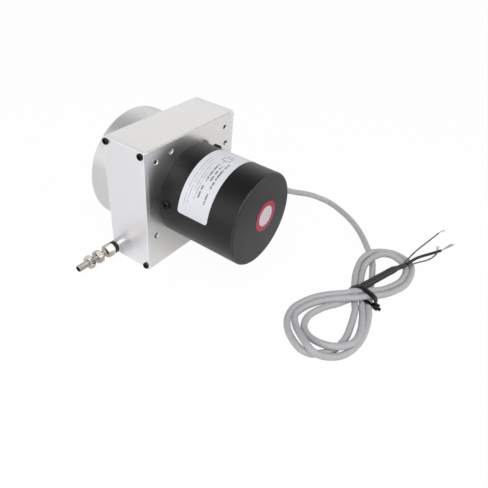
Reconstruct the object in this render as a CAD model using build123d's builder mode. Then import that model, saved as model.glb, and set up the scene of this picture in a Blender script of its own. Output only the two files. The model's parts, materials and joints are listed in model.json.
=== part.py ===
from build123d import *
import math
import os

os.makedirs("parts", exist_ok=True)

# Draw wire displacement sensor, in millimetres.
# X runs along the profile and the wire leaves towards -X, the encoder cover points to -Y,
# the spring housing to +Y, and Z is up.
# The origin is the centre of the square body's bottom face.

# Square body: an extruded profile closed by two end plates
body_width = 110.0
body_height = 110.0
body_depth = 42.5
end_plate_thickness = 4.0
side_wall = 6.0
floor_wall = 4.0
profile_corner_radius = 0.8
cavity_corner_radius = 2.0
plate_edge_chamfer = 0.4
axis_offset = 2.0

# Clearances
thread_gap = 0.05
fit_gap = 0.03
running_gap = 0.04
seat_gap = 0.3
static_gap = 0.1
cut_past = 1.0

# Small socket head screws, and the larger ones of the cover; shares of the head's height and shank's radius
head_chamfer_share = 0.12
socket_depth_share = 0.5
shank_chamfer_share = 0.25
small_screw_radius = 1.5
small_head_radius = 2.75
small_head_height = 3.0
small_socket_flats = 2.5
cover_screw_radius = 2.0
cover_head_radius = 3.6
cover_head_height = 1.9
cover_socket_flats = 2.5
plate_screw_inset = 3.25
plate_screw_length = 14.0
flange_screw_inset = 7.5
flange_screw_length = 14.0
housing_screw_length = 26.0

# Threaded holes that a mounting is screwed to
front_hole_edge = 1.5
front_hole_start_angle = 30.0
corner_hole_side = 12.5
corner_hole_top = 11.5
mount_hole_radius = 2.1
corner_hole_radius = 1.65
base_hole_side = 15.0
base_hole_front = 9.25
mount_hole_chamfer = 0.5

# Shaft and its two ball bearings
shaft_radius = 4.0
shaft_back_gap = 3.25
shaft_end_gap = 2.25
bearing_outer_radius = 8.0
bearing_width = 5.0
bearing_race_wall = 1.1
bearing_lip_radius = 6.5
circlip_outer_radius = 5.6
circlip_thickness = 0.8
circlip_groove_depth = 0.4
circlip_mouth = 3.0
circlip_mouth_past = 1.2
shaft_chamfer = 0.5
shaft_flat_depth = 0.5

# Measuring drum and the wire wound on it
drum_clearance = 1.8
wire_radius = 0.4
wire_pitch = 1.2
wire_turns = 6
wire_line_inset = 8.05
drum_front_gap = 9.25
drum_flange_height = 1.6
drum_flange_thickness = 1.0
drum_rim_wall = 3.0
drum_web_thickness = 4.0
drum_hub_radius = 11.0
drum_hub_front_gap = 5.25
drum_hub_back_gap = 3.25
drum_hole_radius = 8.5
drum_hole_circle_radius = 27.5
drum_hole_count = 6
set_screw_radius = 2.0
set_screw_length = 6.0
set_screw_flats = 2.0
set_screw_inset = 4.0
set_screw_point_share = 0.3
set_screw_socket_share = 0.33

# Spring housing, its spring and the arbor on the shaft
spring_housing_top = 2.0
spring_housing_depth = 25.0
spring_housing_wall = 7.0
spring_housing_floor = 3.0
spring_housing_round = 1.5
housing_screw_inset = 3.5
spring_strip_thickness = 0.5
spring_side_gap = 3.0
spring_turns = 13
arbor_radius = 11.0
arbor_overhang = 0.5
hook_slot_depth = 2.0
hook_slot_width = 1.5
hook_length = 1.4

# Encoder cover and the flange that carries it
cover_radius = 40.0
cover_length = 72.0
cover_wall = 2.5
cover_end_round = 1.8
flange_thickness = 12.0
flange_opening_radius = 11.0
flange_lip = 2.0
flange_tap_depth = 8.0
cover_screw_offset = 7.0
cover_screw_angle = 53.0
cover_screw_count = 3
cover_seal_radius = 1.0
seal_groove_rim = 0.6
cover_screw_length = 9.0

# Coupling, encoder and circuit board
coupling_radius = 9.0
coupling_base_gap = 4.0
coupling_slot_count = 5
coupling_slot_share = 0.4
coupling_spine = 2.7
coupling_gap = 2.0
encoder_shaft_radius = 3.0
cover_end_gap = 4.9
standoff_flats = 6.0
standoff_stud_length = 6.0
standoff_inset = 5.0
standoff_count = 3
encoder_base_inset = 8.5
encoder_base_thickness = 7.0
base_screw_reach = 5.0
encoder_bearing_radius = 6.5
encoder_bearing_width = 5.0
encoder_race_wall = 0.9
encoder_shaft_gap = 3.0
encoder_base_chamfer = 1.0
disc_inset = 4.0
disc_thickness = 0.8
disc_gap = 3.0
disc_slot_count = 36
disc_slot_length = 3.0
disc_slot_width = 1.2
disc_hub_radius = 6.0
disc_collar_length = 2.0
head_width = 13.0
head_reach = 6.0
head_gap = 0.8
board_inset = 10.5
board_thickness = 1.6
board_gap = 11.0
spacer_radius = 2.5
board_head_height = 2.0
connector_width = 6.0
connector_height = 7.0
connector_pole_pitch = 3.6
connector_pole_count = 4
connector_pole_radius = 1.1
connector_offset = 12.0

# Cable gland on the far side of the cover
gland_angle = -7.0
gland_distance_y = 44.75
gland_thread_radius = 6.0
gland_hex_flats = 15.0
gland_hex_thickness = 5.0
gland_nut_length = 9.5
gland_dome_length = 4.0
gland_dome_rim = 2.2
gland_nut_lip = 1.5
gland_seal_depth = 2.0
gland_locknut_thickness = 3.0
gland_bore_radius = 4.2
gland_thread_past = 1.0
spot_face_radius = 9.0
spot_face_depth = 1.1

# Stickers
label_thickness = 0.15
label_lift = 0.02
label_start_angle = 30.0
label_end_angle = 174.0
label_near_offset = 18.75
label_width = 29.0
label_corner_radius = 2.5
badge_radius = 13.5
badge_offset_x = 5.5
badge_offset_z = 1.2
badge_thickness = 0.15

# Wire outlet and the fitting on the wire's end
nozzle_radius = 5.5
nozzle_length = 5.3
nozzle_spigot_radius = 4.0
nozzle_chamfer = 0.6
bush_radius = 2.4
bush_bore_radius = 0.6
bush_flare_radius = 1.6
buffer_radius = 5.25
buffer_length = 3.2
buffer_round = 0.5
sleeve_flats = 10.0
sleeve_length = 7.2
sleeve_front_wall = 1.2
stud_radius = 2.95
stud_length = 29.0
stud_free_radius = 2.75
stud_free_gap = 0.5
stud_chamfer = 0.5
stud_hole_radius = 1.7
stud_hole_depth = 6.0
nut_flats = 10.0
nut_inner_offset = 5.4
nut_inner_thickness = 5.0
nut_outer_offset = 14.6
nut_outer_thickness = 4.6
ferrule_radius = 1.75
ferrule_length = 4.0

# Signal cable, its coil, tie, sleeve and leads
cable_radius = 2.75
cable_straight_out = 9.0
bend_share = 0.45
sleeve_thick_radius = 3.2
sleeve_thin_radius = 2.1
lead_radius = 0.7
screen_lead_radius = 1.35
bare_tip_radius = 0.5
tie_width = 3.6
tie_thickness = 1.2
tie_head = 5.0
tie_tail_length = 8.0
tie_tail_width = 2.6
tie_corner_radius = 2.5
tie_shoulder = 5.0
tie_head_lift = 0.5
waist_x = 31.0
waist_y = -180.0
waist_half_length = 6.5
waist_half_width = 12.2
waist_height = 11.6
waist_round = 2.0
crossing_half_length = 9.0

# Sizes worked out from the ones above
half_width = body_width / 2
half_depth = body_depth / 2
front_y = -half_depth
back_y = half_depth
profile_length = body_width - 2 * end_plate_thickness
profile_half = profile_length / 2
cavity_depth = body_depth - 2 * side_wall
cavity_height = body_height - 2 * floor_wall
axis_height = body_height / 2 + axis_offset
plate_screw_y = half_depth - plate_screw_inset
plate_screw_low = plate_screw_inset
plate_screw_high = body_height - plate_screw_inset
wire_line_y = half_depth - wire_line_inset
axis_room = min(half_width, body_height - axis_height)
front_hole_circle = 2 * (axis_room - front_hole_edge)
corner_hole_spacing = body_width - 2 * corner_hole_side
corner_hole_height = body_height - corner_hole_top
base_hole_spacing_x = body_width - 2 * base_hole_side
base_hole_spacing_y = body_depth - 2 * base_hole_front
drum_room = min(profile_half, axis_height - floor_wall, body_height - axis_height - floor_wall)
drum_flange_radius = drum_room - drum_clearance
drum_floor_radius = drum_flange_radius - drum_flange_height
drum_wrap_radius = drum_floor_radius + wire_radius
drum_front_y = drum_front_gap - cavity_depth / 2
drum_hub_front_y = drum_hub_front_gap - cavity_depth / 2
drum_hub_back_y = cavity_depth / 2 - drum_hub_back_gap
wire_line_z = axis_height - drum_wrap_radius
flange_front_y = front_y - flange_thickness
cover_end_y = front_y - cover_length
cover_inner_radius = cover_radius - cover_wall
flange_radius = cover_inner_radius - static_gap
flange_screw_circle = 2 * (cover_inner_radius - flange_screw_inset)
flange_screw_start = cover_screw_angle + 180 / cover_screw_count
inner_stack = connector_height + board_thickness + board_gap + encoder_base_thickness
standoff_length = cover_length - cover_wall - cover_end_gap - inner_stack - flange_thickness
encoder_base_radius = cover_inner_radius - encoder_base_inset
standoff_circle_radius = encoder_base_radius - standoff_inset
disc_radius = standoff_circle_radius - disc_inset
board_radius = cover_inner_radius - board_inset
coupling_back_y = flange_front_y - coupling_gap
coupling_length = standoff_length - coupling_gap - coupling_base_gap
coupling_middle_y = coupling_back_y - coupling_length / 2
encoder_base_y = flange_front_y - standoff_length
encoder_front_y = encoder_base_y - encoder_base_thickness
disc_y = encoder_front_y - disc_gap
board_y = encoder_front_y - board_gap
spring_housing_end_y = back_y + spring_housing_depth
spring_housing_radius = min(profile_half, body_height - axis_height - spring_housing_top)
spring_chamber_radius = spring_housing_radius - spring_housing_wall
housing_screw_circle_radius = spring_housing_radius - housing_screw_inset
spring_chamber_depth = spring_housing_depth - spring_housing_floor
spring_strip_width = spring_chamber_depth - 2 * spring_side_gap
arbor_length = spring_strip_width + 2 * arbor_overhang
shaft_back_end = back_y + spring_chamber_depth - shaft_back_gap
shaft_front_end = -coupling_middle_y - shaft_end_gap
spring_inner_radius = arbor_radius + seat_gap + spring_strip_thickness / 2
spring_outer_radius = spring_chamber_radius - seat_gap - spring_strip_thickness / 2
spring_turn_pitch = (spring_outer_radius - spring_inner_radius) / spring_turns
shaft_axis = Plane(origin=(0, 0, axis_height), x_dir=(1, 0, 0), z_dir=(0, -1, 0))


def outward_plane(distance):
    """A plane across the shaft, facing -Y, at this distance in front of the body's middle."""
    return shaft_axis.offset(distance)


def write(builder, name):
    builder.part.label = name
    export_step(builder.part, "parts/" + name + ".step")


def socket_screw(radius, length, head_radius, head_height, flats):
    """A socket head screw whose head stands on z = 0 and whose shank runs down."""
    with BuildPart() as screw:
        with BuildSketch():
            Circle(head_radius)
        extrude(amount=head_height)
        chamfer(screw.edges().sort_by(Axis.Z)[-1], head_height * head_chamfer_share)
        with BuildSketch(Plane.XY.offset(head_height)):
            RegularPolygon(flats / math.sqrt(3), 6)
        extrude(amount=-head_height * socket_depth_share, mode=Mode.SUBTRACT)
        with BuildSketch():
            Circle(radius)
        extrude(amount=-length)
        chamfer(screw.edges().sort_by(Axis.Z)[0], radius * shank_chamfer_share)
    return screw.part


def ball_bearing(bore, outer, width, race):
    """A shielded ball bearing as one turned ring, with a step at each side between its two races."""
    step = 0.4
    with BuildPart() as bearing:
        with BuildSketch(Plane.XZ):
            with BuildLine():
                Polyline(
                    (bore, 0),
                    (bore + race, 0),
                    (bore + race, step),
                    (outer - race, step),
                    (outer - race, 0),
                    (outer, 0),
                    (outer, width),
                    (outer - race, width),
                    (outer - race, width - step),
                    (bore + race, width - step),
                    (bore + race, width),
                    (bore, width),
                    close=True,
                )
            make_face()
        revolve(axis=Axis.Z)
    return bearing.part


# Square body

plate_screw_places = [
    (y, z) for y in (-plate_screw_y, plate_screw_y) for z in (plate_screw_low, plate_screw_high)
]
housing_screw_angles = [45.0 + 90.0 * i for i in range(4)]

with BuildPart() as body_profile:
    with BuildSketch(Plane.YZ.offset(-profile_half)):
        with Locations((0, body_height / 2)):
            RectangleRounded(body_depth, body_height, profile_corner_radius)
            RectangleRounded(cavity_depth, cavity_height, cavity_corner_radius, mode=Mode.SUBTRACT)
        with Locations(*plate_screw_places):
            Circle(small_screw_radius + thread_gap, mode=Mode.SUBTRACT)
    extrude(amount=profile_length)
    # front wall: opening for the shaft, threaded holes for the flange and for a mounting
    with Locations(outward_plane(half_depth)):
        Hole(bearing_lip_radius, side_wall)
        with PolarLocations(flange_screw_circle / 2, cover_screw_count, start_angle=flange_screw_start):
            Hole(small_screw_radius + thread_gap, side_wall)
        with PolarLocations(front_hole_circle / 2, 4, start_angle=front_hole_start_angle):
            CounterSinkHole(mount_hole_radius, mount_hole_radius + mount_hole_chamfer, side_wall)
    with Locations(Plane(origin=(0, front_y, corner_hole_height), x_dir=(1, 0, 0), z_dir=(0, -1, 0))):
        with GridLocations(corner_hole_spacing, 0, 2, 1):
            CounterSinkHole(corner_hole_radius, corner_hole_radius + mount_hole_chamfer, side_wall)
    # back wall: bearing seat and threaded holes for the spring housing
    with Locations(Plane(origin=(0, back_y, axis_height), x_dir=(1, 0, 0), z_dir=(0, 1, 0))):
        CounterBoreHole(bearing_lip_radius, bearing_outer_radius + fit_gap, bearing_width, side_wall)
        with PolarLocations(housing_screw_circle_radius, 4, start_angle=housing_screw_angles[0]):
            Hole(small_screw_radius + thread_gap, side_wall)
    # bottom wall: threaded holes for mounting straps
    with Locations(Plane(origin=(0, 0, 0), x_dir=(1, 0, 0), z_dir=(0, 0, -1))):
        with GridLocations(base_hole_spacing_x, base_hole_spacing_y, 2, 2):
            Hole(mount_hole_radius, floor_wall)
write(body_profile, "body_profile")

with BuildPart() as left_end_plate:
    with BuildSketch(Plane.YZ.offset(-half_width)):
        with Locations((0, body_height / 2)):
            RectangleRounded(body_depth, body_height, profile_corner_radius)
        with Locations(*plate_screw_places):
            Circle(small_screw_radius + static_gap, mode=Mode.SUBTRACT)
        with Locations((wire_line_y, wire_line_z)):
            Circle(nozzle_spigot_radius + thread_gap, mode=Mode.SUBTRACT)
    extrude(amount=end_plate_thickness)
    outer_face = left_end_plate.faces().sort_by(Axis.X)[0]
    chamfer(outer_face.outer_wire().edges(), plate_edge_chamfer)
write(left_end_plate, "left_end_plate")

with BuildPart() as right_end_plate:
    with BuildSketch(Plane.YZ.offset(profile_half)):
        with Locations((0, body_height / 2)):
            RectangleRounded(body_depth, body_height, profile_corner_radius)
        with Locations(*plate_screw_places):
            Circle(small_screw_radius + static_gap, mode=Mode.SUBTRACT)
    extrude(amount=end_plate_thickness)
    outer_face = right_end_plate.faces().sort_by(Axis.X)[-1]
    chamfer(outer_face.outer_wire().edges(), plate_edge_chamfer)
write(right_end_plate, "right_end_plate")

plate_screw = socket_screw(
    small_screw_radius, plate_screw_length, small_head_radius, small_head_height, small_socket_flats
)
for side, direction in (("left", -1), ("right", 1)):
    with BuildPart() as plate_screws:
        for y, z in plate_screw_places:
            with Locations(Plane(origin=(direction * half_width, y, z), z_dir=(direction, 0, 0))):
                add(plate_screw)
    write(plate_screws, side + "_plate_screws")

# Shaft with its bearings, arbor and retaining rings

rear_bearing_y = back_y - bearing_width
front_bearing_y = front_y - bearing_width
rear_circlip_y = back_y + static_gap
front_circlip_y = front_bearing_y - static_gap - circlip_thickness
set_screw_y = drum_hub_front_y + set_screw_inset

with BuildPart() as drum_shaft:
    with BuildSketch(outward_plane(-shaft_back_end)):
        Circle(shaft_radius)
    extrude(amount=shaft_back_end + shaft_front_end)
    chamfer(drum_shaft.edges().group_by(Axis.Y)[0], shaft_chamfer)
    chamfer(drum_shaft.edges().group_by(Axis.Y)[-1], shaft_chamfer)
    for groove_y in (rear_circlip_y, front_circlip_y):
        with BuildSketch(outward_plane(-groove_y - circlip_thickness)):
            Circle(circlip_outer_radius)
            Circle(shaft_radius - circlip_groove_depth, mode=Mode.SUBTRACT)
        extrude(amount=circlip_thickness, mode=Mode.SUBTRACT)
    # flat that the drum's set screw bears on
    with BuildSketch(Plane.XY.offset(axis_height + shaft_radius)):
        with Locations((0, set_screw_y)):
            Rectangle(2 * shaft_radius, 3 * set_screw_radius)
    extrude(amount=-shaft_flat_depth, mode=Mode.SUBTRACT)
write(drum_shaft, "drum_shaft")

circlip_mouth_length = 2 * (circlip_outer_radius - shaft_radius) + circlip_mouth_past

with BuildPart() as shaft_circlips:
    for ring_y in (rear_circlip_y, front_circlip_y):
        with BuildSketch(outward_plane(-ring_y - circlip_thickness)):
            Circle(circlip_outer_radius)
            Circle(shaft_radius - circlip_groove_depth + fit_gap, mode=Mode.SUBTRACT)
            with Locations((0, -circlip_outer_radius)):
                Rectangle(circlip_mouth, circlip_mouth_length, mode=Mode.SUBTRACT)
        extrude(amount=circlip_thickness)
write(shaft_circlips, "shaft_circlips")

shaft_bearing = ball_bearing(
    shaft_radius + running_gap, bearing_outer_radius, bearing_width, bearing_race_wall
)
for name, bearing_y in (("rear_bearing", rear_bearing_y), ("front_bearing", front_bearing_y)):
    with BuildPart() as bearing:
        with Locations(outward_plane(-bearing_y - bearing_width)):
            add(shaft_bearing)
    write(bearing, name)

# Measuring drum: a turned wheel with a rim, two low flanges, a pierced web and a hub

drum_rim_radius = drum_floor_radius - drum_rim_wall
winding_back_y = wire_line_y + wire_pitch / 2
drum_back_y = winding_back_y + static_gap + drum_flange_thickness
web_front_y = (drum_front_y + drum_back_y - drum_web_thickness) / 2
web_back_y = web_front_y + drum_web_thickness

with BuildPart() as measuring_drum:
    with BuildSketch(Plane.YZ):
        with BuildLine():
            Polyline(
                (drum_hub_front_y, axis_height + shaft_radius + fit_gap),
                (drum_hub_back_y, axis_height + shaft_radius + fit_gap),
                (drum_hub_back_y, axis_height + drum_hub_radius),
                (web_back_y, axis_height + drum_hub_radius),
                (web_back_y, axis_height + drum_rim_radius),
                (drum_back_y, axis_height + drum_rim_radius),
                (drum_back_y, axis_height + drum_flange_radius),
                (drum_back_y - drum_flange_thickness, axis_height + drum_flange_radius),
                (drum_back_y - drum_flange_thickness, axis_height + drum_floor_radius),
                (drum_front_y + drum_flange_thickness, axis_height + drum_floor_radius),
                (drum_front_y + drum_flange_thickness, axis_height + drum_flange_radius),
                (drum_front_y, axis_height + drum_flange_radius),
                (drum_front_y, axis_height + drum_rim_radius),
                (web_front_y, axis_height + drum_rim_radius),
                (web_front_y, axis_height + drum_hub_radius),
                (drum_hub_front_y, axis_height + drum_hub_radius),
                close=True,
            )
        make_face()
    revolve(axis=Axis((0, 0, axis_height), (0, 1, 0)))
    with Locations(outward_plane(-web_front_y)):
        with PolarLocations(drum_hole_circle_radius, drum_hole_count):
            Hole(drum_hole_radius, drum_web_thickness)
    with Locations(Plane(origin=(0, set_screw_y, axis_height + drum_hub_radius))):
        Hole(set_screw_radius + thread_gap, drum_hub_radius - shaft_radius + cut_past)
write(measuring_drum, "measuring_drum")

with BuildPart() as drum_set_screw:
    set_screw_foot = axis_height + shaft_radius - shaft_flat_depth + static_gap
    with BuildSketch(Plane.XY.offset(set_screw_foot)):
        with Locations((0, set_screw_y)):
            Circle(set_screw_radius)
    extrude(amount=set_screw_length)
    chamfer(drum_set_screw.edges().sort_by(Axis.Z)[0], set_screw_radius * set_screw_point_share)
    with BuildSketch(Plane.XY.offset(set_screw_foot + set_screw_length)):
        with Locations((0, set_screw_y)):
            RegularPolygon(set_screw_flats / math.sqrt(3), 6)
    extrude(amount=-set_screw_length * set_screw_socket_share, mode=Mode.SUBTRACT)
write(drum_set_screw, "drum_set_screw")

# The wound wire: one layer of turns lying side by side on the drum's floor
with BuildPart() as wire_winding:
    winding_floor = axis_height + drum_floor_radius + fit_gap
    with BuildSketch(Plane.YZ):
        with BuildLine():
            turn_edges = [winding_back_y - i * wire_pitch for i in range(wire_turns + 1)]
            crown = winding_floor + 2 * wire_radius
            flank = winding_floor + wire_radius
            for near, far in zip(turn_edges, turn_edges[1:]):
                ThreePointArc((near, flank), ((near + far) / 2, crown), (far, flank))
            Polyline(
                (turn_edges[-1], flank),
                (turn_edges[-1], winding_floor),
                (turn_edges[0], winding_floor),
                (turn_edges[0], flank),
            )
        make_face()
    revolve(axis=Axis((0, 0, axis_height), (0, 1, 0)))
write(wire_winding, "wire_winding")

# Spring housing, spring and arbor

with BuildPart() as spring_housing:
    with BuildSketch(outward_plane(-back_y)):
        Circle(spring_housing_radius)
    extrude(amount=-spring_housing_depth)
    fillet(spring_housing.edges().sort_by(Axis.Y)[-1], spring_housing_round)
    with BuildSketch(outward_plane(-back_y)):
        Circle(spring_chamber_radius)
    extrude(amount=-spring_chamber_depth, mode=Mode.SUBTRACT)
    # slot in the wall that holds the spring's outer hook
    with BuildSketch(outward_plane(-back_y)):
        with Locations((spring_chamber_radius, 0)):
            Rectangle(2 * hook_slot_depth, hook_slot_width)
    extrude(amount=-spring_chamber_depth, mode=Mode.SUBTRACT)
    with Locations(Plane(origin=(0, spring_housing_end_y, axis_height), x_dir=(1, 0, 0), z_dir=(0, 1, 0))):
        with PolarLocations(housing_screw_circle_radius, 4, start_angle=housing_screw_angles[0]):
            CounterBoreHole(
                small_screw_radius + static_gap,
                small_head_radius + static_gap,
                small_head_height + static_gap,
                spring_housing_depth,
            )
write(spring_housing, "spring_housing")

housing_screw = socket_screw(
    small_screw_radius, housing_screw_length, small_head_radius, small_head_height, small_socket_flats
)
with BuildPart() as spring_housing_screws:
    head_seat_y = spring_housing_end_y - small_head_height - static_gap
    with Locations(Plane(origin=(0, head_seat_y, axis_height), x_dir=(1, 0, 0), z_dir=(0, 1, 0))):
        with PolarLocations(housing_screw_circle_radius, 4, start_angle=housing_screw_angles[0]):
            add(housing_screw)
write(spring_housing_screws, "spring_housing_screws")

spring_middle_y = back_y + spring_chamber_depth / 2

with BuildPart() as spring_arbor:
    with BuildSketch(outward_plane(-(spring_middle_y + arbor_length / 2))):
        Circle(arbor_radius)
        Circle(shaft_radius + fit_gap, mode=Mode.SUBTRACT)
        # slot that holds the spring's inner hook
        with Locations((arbor_radius, 0)):
            Rectangle(2 * hook_slot_depth, hook_slot_width, mode=Mode.SUBTRACT)
    extrude(amount=arbor_length)
write(spring_arbor, "spring_arbor")

# The power spring: half turns whose radius grows by half the pitch, centred in turn on two points
with BuildPart() as power_spring:
    half_strip = spring_strip_thickness / 2
    half_pitch = spring_turn_pitch / 2
    with BuildSketch(outward_plane(-(spring_middle_y + spring_strip_width / 2))):
        with BuildLine():
            for face in (-half_strip, half_strip):
                for half_turn in range(2 * spring_turns):
                    side = 1 if half_turn % 2 == 0 else -1
                    start = spring_inner_radius + half_turn * half_pitch
                    centre_x = -side * half_pitch / 2
                    radius = start + half_pitch / 2 + face
                    ThreePointArc(
                        (centre_x + side * radius, 0),
                        (centre_x, side * radius),
                        (centre_x - side * radius, 0),
                    )
            for end in (spring_inner_radius, spring_outer_radius):
                Line((end - half_strip, 0), (end + half_strip, 0))
        make_face()
        # hooks bent into the slots of the arbor and of the housing
        for hook_start, hook_end in (
            (arbor_radius - hook_length, spring_inner_radius),
            (spring_outer_radius, spring_chamber_radius + hook_length),
        ):
            with Locations(((hook_start + hook_end) / 2, 0)):
                Rectangle(hook_end - hook_start, spring_strip_thickness)
    extrude(amount=spring_strip_width)
write(power_spring, "power_spring")

# Front flange, encoder cover and its screws

cover_screw_y = front_y - cover_screw_offset
cover_screw_angles = [cover_screw_angle + i * 360 / cover_screw_count for i in range(cover_screw_count)]
flange_head_seat = flange_thickness - small_head_height - static_gap
seal_groove_width = 2 * (cover_seal_radius + static_gap)
seal_groove_distance = half_depth + flange_thickness - seal_groove_rim - seal_groove_width


def radial_plane(angle, y, distance):
    """A plane facing away from the shaft at this angle from +X towards +Z, and this far out."""
    across = math.cos(math.radians(angle))
    up = math.sin(math.radians(angle))
    origin = (distance * across, y, axis_height + distance * up)
    return Plane(origin=origin, x_dir=(0, 1, 0), z_dir=(across, 0, up))


with BuildPart() as front_flange:
    with BuildSketch(outward_plane(half_depth)):
        Circle(flange_radius)
    extrude(amount=flange_thickness)
    with BuildSketch(outward_plane(half_depth)):
        Circle(bearing_outer_radius + fit_gap)
    extrude(amount=bearing_width, mode=Mode.SUBTRACT)
    with Locations(outward_plane(half_depth + flange_thickness)):
        Hole(bearing_lip_radius, flange_thickness)
    with BuildSketch(outward_plane(half_depth + bearing_width + flange_lip)):
        Circle(flange_opening_radius)
    extrude(amount=flange_thickness, mode=Mode.SUBTRACT)
    with Locations(outward_plane(half_depth + flange_thickness)):
        with PolarLocations(flange_screw_circle / 2, cover_screw_count, start_angle=flange_screw_start):
            CounterBoreHole(
                small_screw_radius + static_gap,
                small_head_radius + static_gap,
                flange_thickness - flange_head_seat,
                flange_thickness,
            )
        with PolarLocations(standoff_circle_radius, standoff_count):
            Hole(small_screw_radius + thread_gap, flange_tap_depth)
    # groove for the cover's seal
    with BuildSketch(outward_plane(seal_groove_distance)):
        Circle(flange_radius)
        Circle(cover_inner_radius - 2 * cover_seal_radius - static_gap, mode=Mode.SUBTRACT)
    extrude(amount=seal_groove_width, mode=Mode.SUBTRACT)
    for angle in cover_screw_angles:
        with Locations(radial_plane(angle, cover_screw_y, flange_radius)):
            Hole(cover_screw_radius + thread_gap, flange_tap_depth)
write(front_flange, "front_flange")

with BuildPart() as cover_seal:
    with Locations(outward_plane(seal_groove_distance + seal_groove_width / 2)):
        Torus(cover_inner_radius - cover_seal_radius - fit_gap, cover_seal_radius)
write(cover_seal, "cover_seal")

flange_screw = socket_screw(
    small_screw_radius, flange_screw_length, small_head_radius, small_head_height, small_socket_flats
)
with BuildPart() as flange_screws:
    with Locations(outward_plane(half_depth + flange_head_seat)):
        with PolarLocations(flange_screw_circle / 2, cover_screw_count, start_angle=flange_screw_start):
            add(flange_screw)
write(flange_screws, "flange_screws")

gland_y = front_y - gland_distance_y
spot_face_distance = cover_radius - spot_face_depth

with BuildPart() as encoder_cover:
    with BuildSketch(outward_plane(half_depth)):
        Circle(cover_radius)
    extrude(amount=cover_length)
    fillet(encoder_cover.edges().sort_by(Axis.Y)[0], cover_end_round)
    with BuildSketch(outward_plane(half_depth)):
        Circle(cover_inner_radius)
    extrude(amount=cover_length - cover_wall, mode=Mode.SUBTRACT)
    for angle in cover_screw_angles:
        with Locations(radial_plane(angle, cover_screw_y, cover_radius)):
            Hole(cover_screw_radius + static_gap, 3 * cover_wall)
    # flat that the cable gland seats on, and its hole
    with Locations(radial_plane(gland_angle, gland_y, cover_radius)):
        CounterBoreHole(gland_thread_radius + static_gap, spot_face_radius, spot_face_depth, 3 * cover_wall)
write(encoder_cover, "encoder_cover")

cover_screw = socket_screw(
    cover_screw_radius, cover_screw_length, cover_head_radius, cover_head_height, cover_socket_flats
)
with BuildPart() as cover_screws:
    for angle in cover_screw_angles:
        with Locations(radial_plane(angle, cover_screw_y, cover_radius)):
            add(cover_screw)
write(cover_screws, "cover_screws")

# Coupling, encoder and circuit board inside the cover

with BuildPart() as shaft_coupling:
    with BuildSketch(outward_plane(-coupling_back_y)):
        Circle(coupling_radius)
        Circle(shaft_radius + fit_gap, mode=Mode.SUBTRACT)
    extrude(amount=coupling_length / 2)
    with BuildSketch(outward_plane(-coupling_middle_y)):
        Circle(coupling_radius)
        Circle(encoder_shaft_radius + fit_gap, mode=Mode.SUBTRACT)
    extrude(amount=coupling_length / 2)
    # slots cut from alternate sides, which let it bend
    slot_step = coupling_length / (2 * coupling_slot_count)
    slot_width = slot_step * coupling_slot_share
    for i in range(coupling_slot_count):
        slot_y = coupling_middle_y + (i - (coupling_slot_count - 1) / 2) * slot_step
        side = 1 if i % 2 == 0 else -1
        with BuildSketch(outward_plane(-slot_y - slot_width / 2)):
            with Locations((side * coupling_spine, 0)):
                Rectangle(2 * coupling_radius, 2 * coupling_radius)
        extrude(amount=slot_width, mode=Mode.SUBTRACT)
write(shaft_coupling, "shaft_coupling")

with BuildPart() as encoder_standoffs:
    with BuildSketch(outward_plane(-flange_front_y)):
        with PolarLocations(standoff_circle_radius, standoff_count):
            RegularPolygon(standoff_flats / math.sqrt(3), 6)
    extrude(amount=standoff_length)
    with BuildSketch(outward_plane(-flange_front_y)):
        with PolarLocations(standoff_circle_radius, standoff_count):
            Circle(small_screw_radius)
    extrude(amount=-standoff_stud_length)
    with Locations(outward_plane(-encoder_base_y)):
        with PolarLocations(standoff_circle_radius, standoff_count):
            Hole(small_screw_radius + thread_gap, base_screw_reach + cut_past)
write(encoder_standoffs, "encoder_standoffs")

spacer_start_angle = 180.0 / standoff_count
with BuildPart() as encoder_base:
    with BuildSketch(outward_plane(-encoder_base_y)):
        Circle(encoder_base_radius)
    extrude(amount=encoder_base_thickness)
    with Locations(outward_plane(-encoder_front_y)):
        CounterBoreHole(
            encoder_bearing_radius - encoder_race_wall, encoder_bearing_radius + fit_gap,
            encoder_bearing_width, encoder_base_thickness,
        )
        with PolarLocations(standoff_circle_radius, standoff_count):
            Hole(small_screw_radius + static_gap, encoder_base_thickness)
        with PolarLocations(standoff_circle_radius, standoff_count, start_angle=spacer_start_angle):
            Hole(small_screw_radius + thread_gap, encoder_base_thickness)
    chamfer(encoder_base.faces().sort_by(Axis.Y)[-1].outer_wire().edges(), encoder_base_chamfer)
write(encoder_base, "encoder_base")

encoder_screw = socket_screw(
    small_screw_radius,
    encoder_base_thickness + base_screw_reach,
    small_head_radius,
    small_head_height,
    small_socket_flats,
)
with BuildPart() as encoder_screws:
    with Locations(outward_plane(-encoder_front_y)):
        with PolarLocations(standoff_circle_radius, standoff_count):
            add(encoder_screw)
write(encoder_screws, "encoder_screws")

encoder_race = ball_bearing(
    encoder_shaft_radius + running_gap, encoder_bearing_radius, encoder_bearing_width, encoder_race_wall
)
with BuildPart() as encoder_bearing:
    with Locations(outward_plane(-encoder_front_y - encoder_bearing_width)):
        add(encoder_race)
write(encoder_bearing, "encoder_bearing")

encoder_shaft_back_y = -shaft_front_end - encoder_shaft_gap
encoder_shaft_front_y = disc_y - disc_thickness - disc_collar_length - shaft_chamfer
shoulder_y = encoder_front_y - seat_gap
with BuildPart() as encoder_shaft:
    with BuildSketch(outward_plane(-encoder_shaft_back_y)):
        Circle(encoder_shaft_radius)
    extrude(amount=encoder_shaft_back_y - encoder_shaft_front_y)
    with BuildSketch(outward_plane(-shoulder_y)):
        Circle(disc_hub_radius)
    extrude(amount=shoulder_y - disc_y)
write(encoder_shaft, "encoder_shaft")

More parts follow.
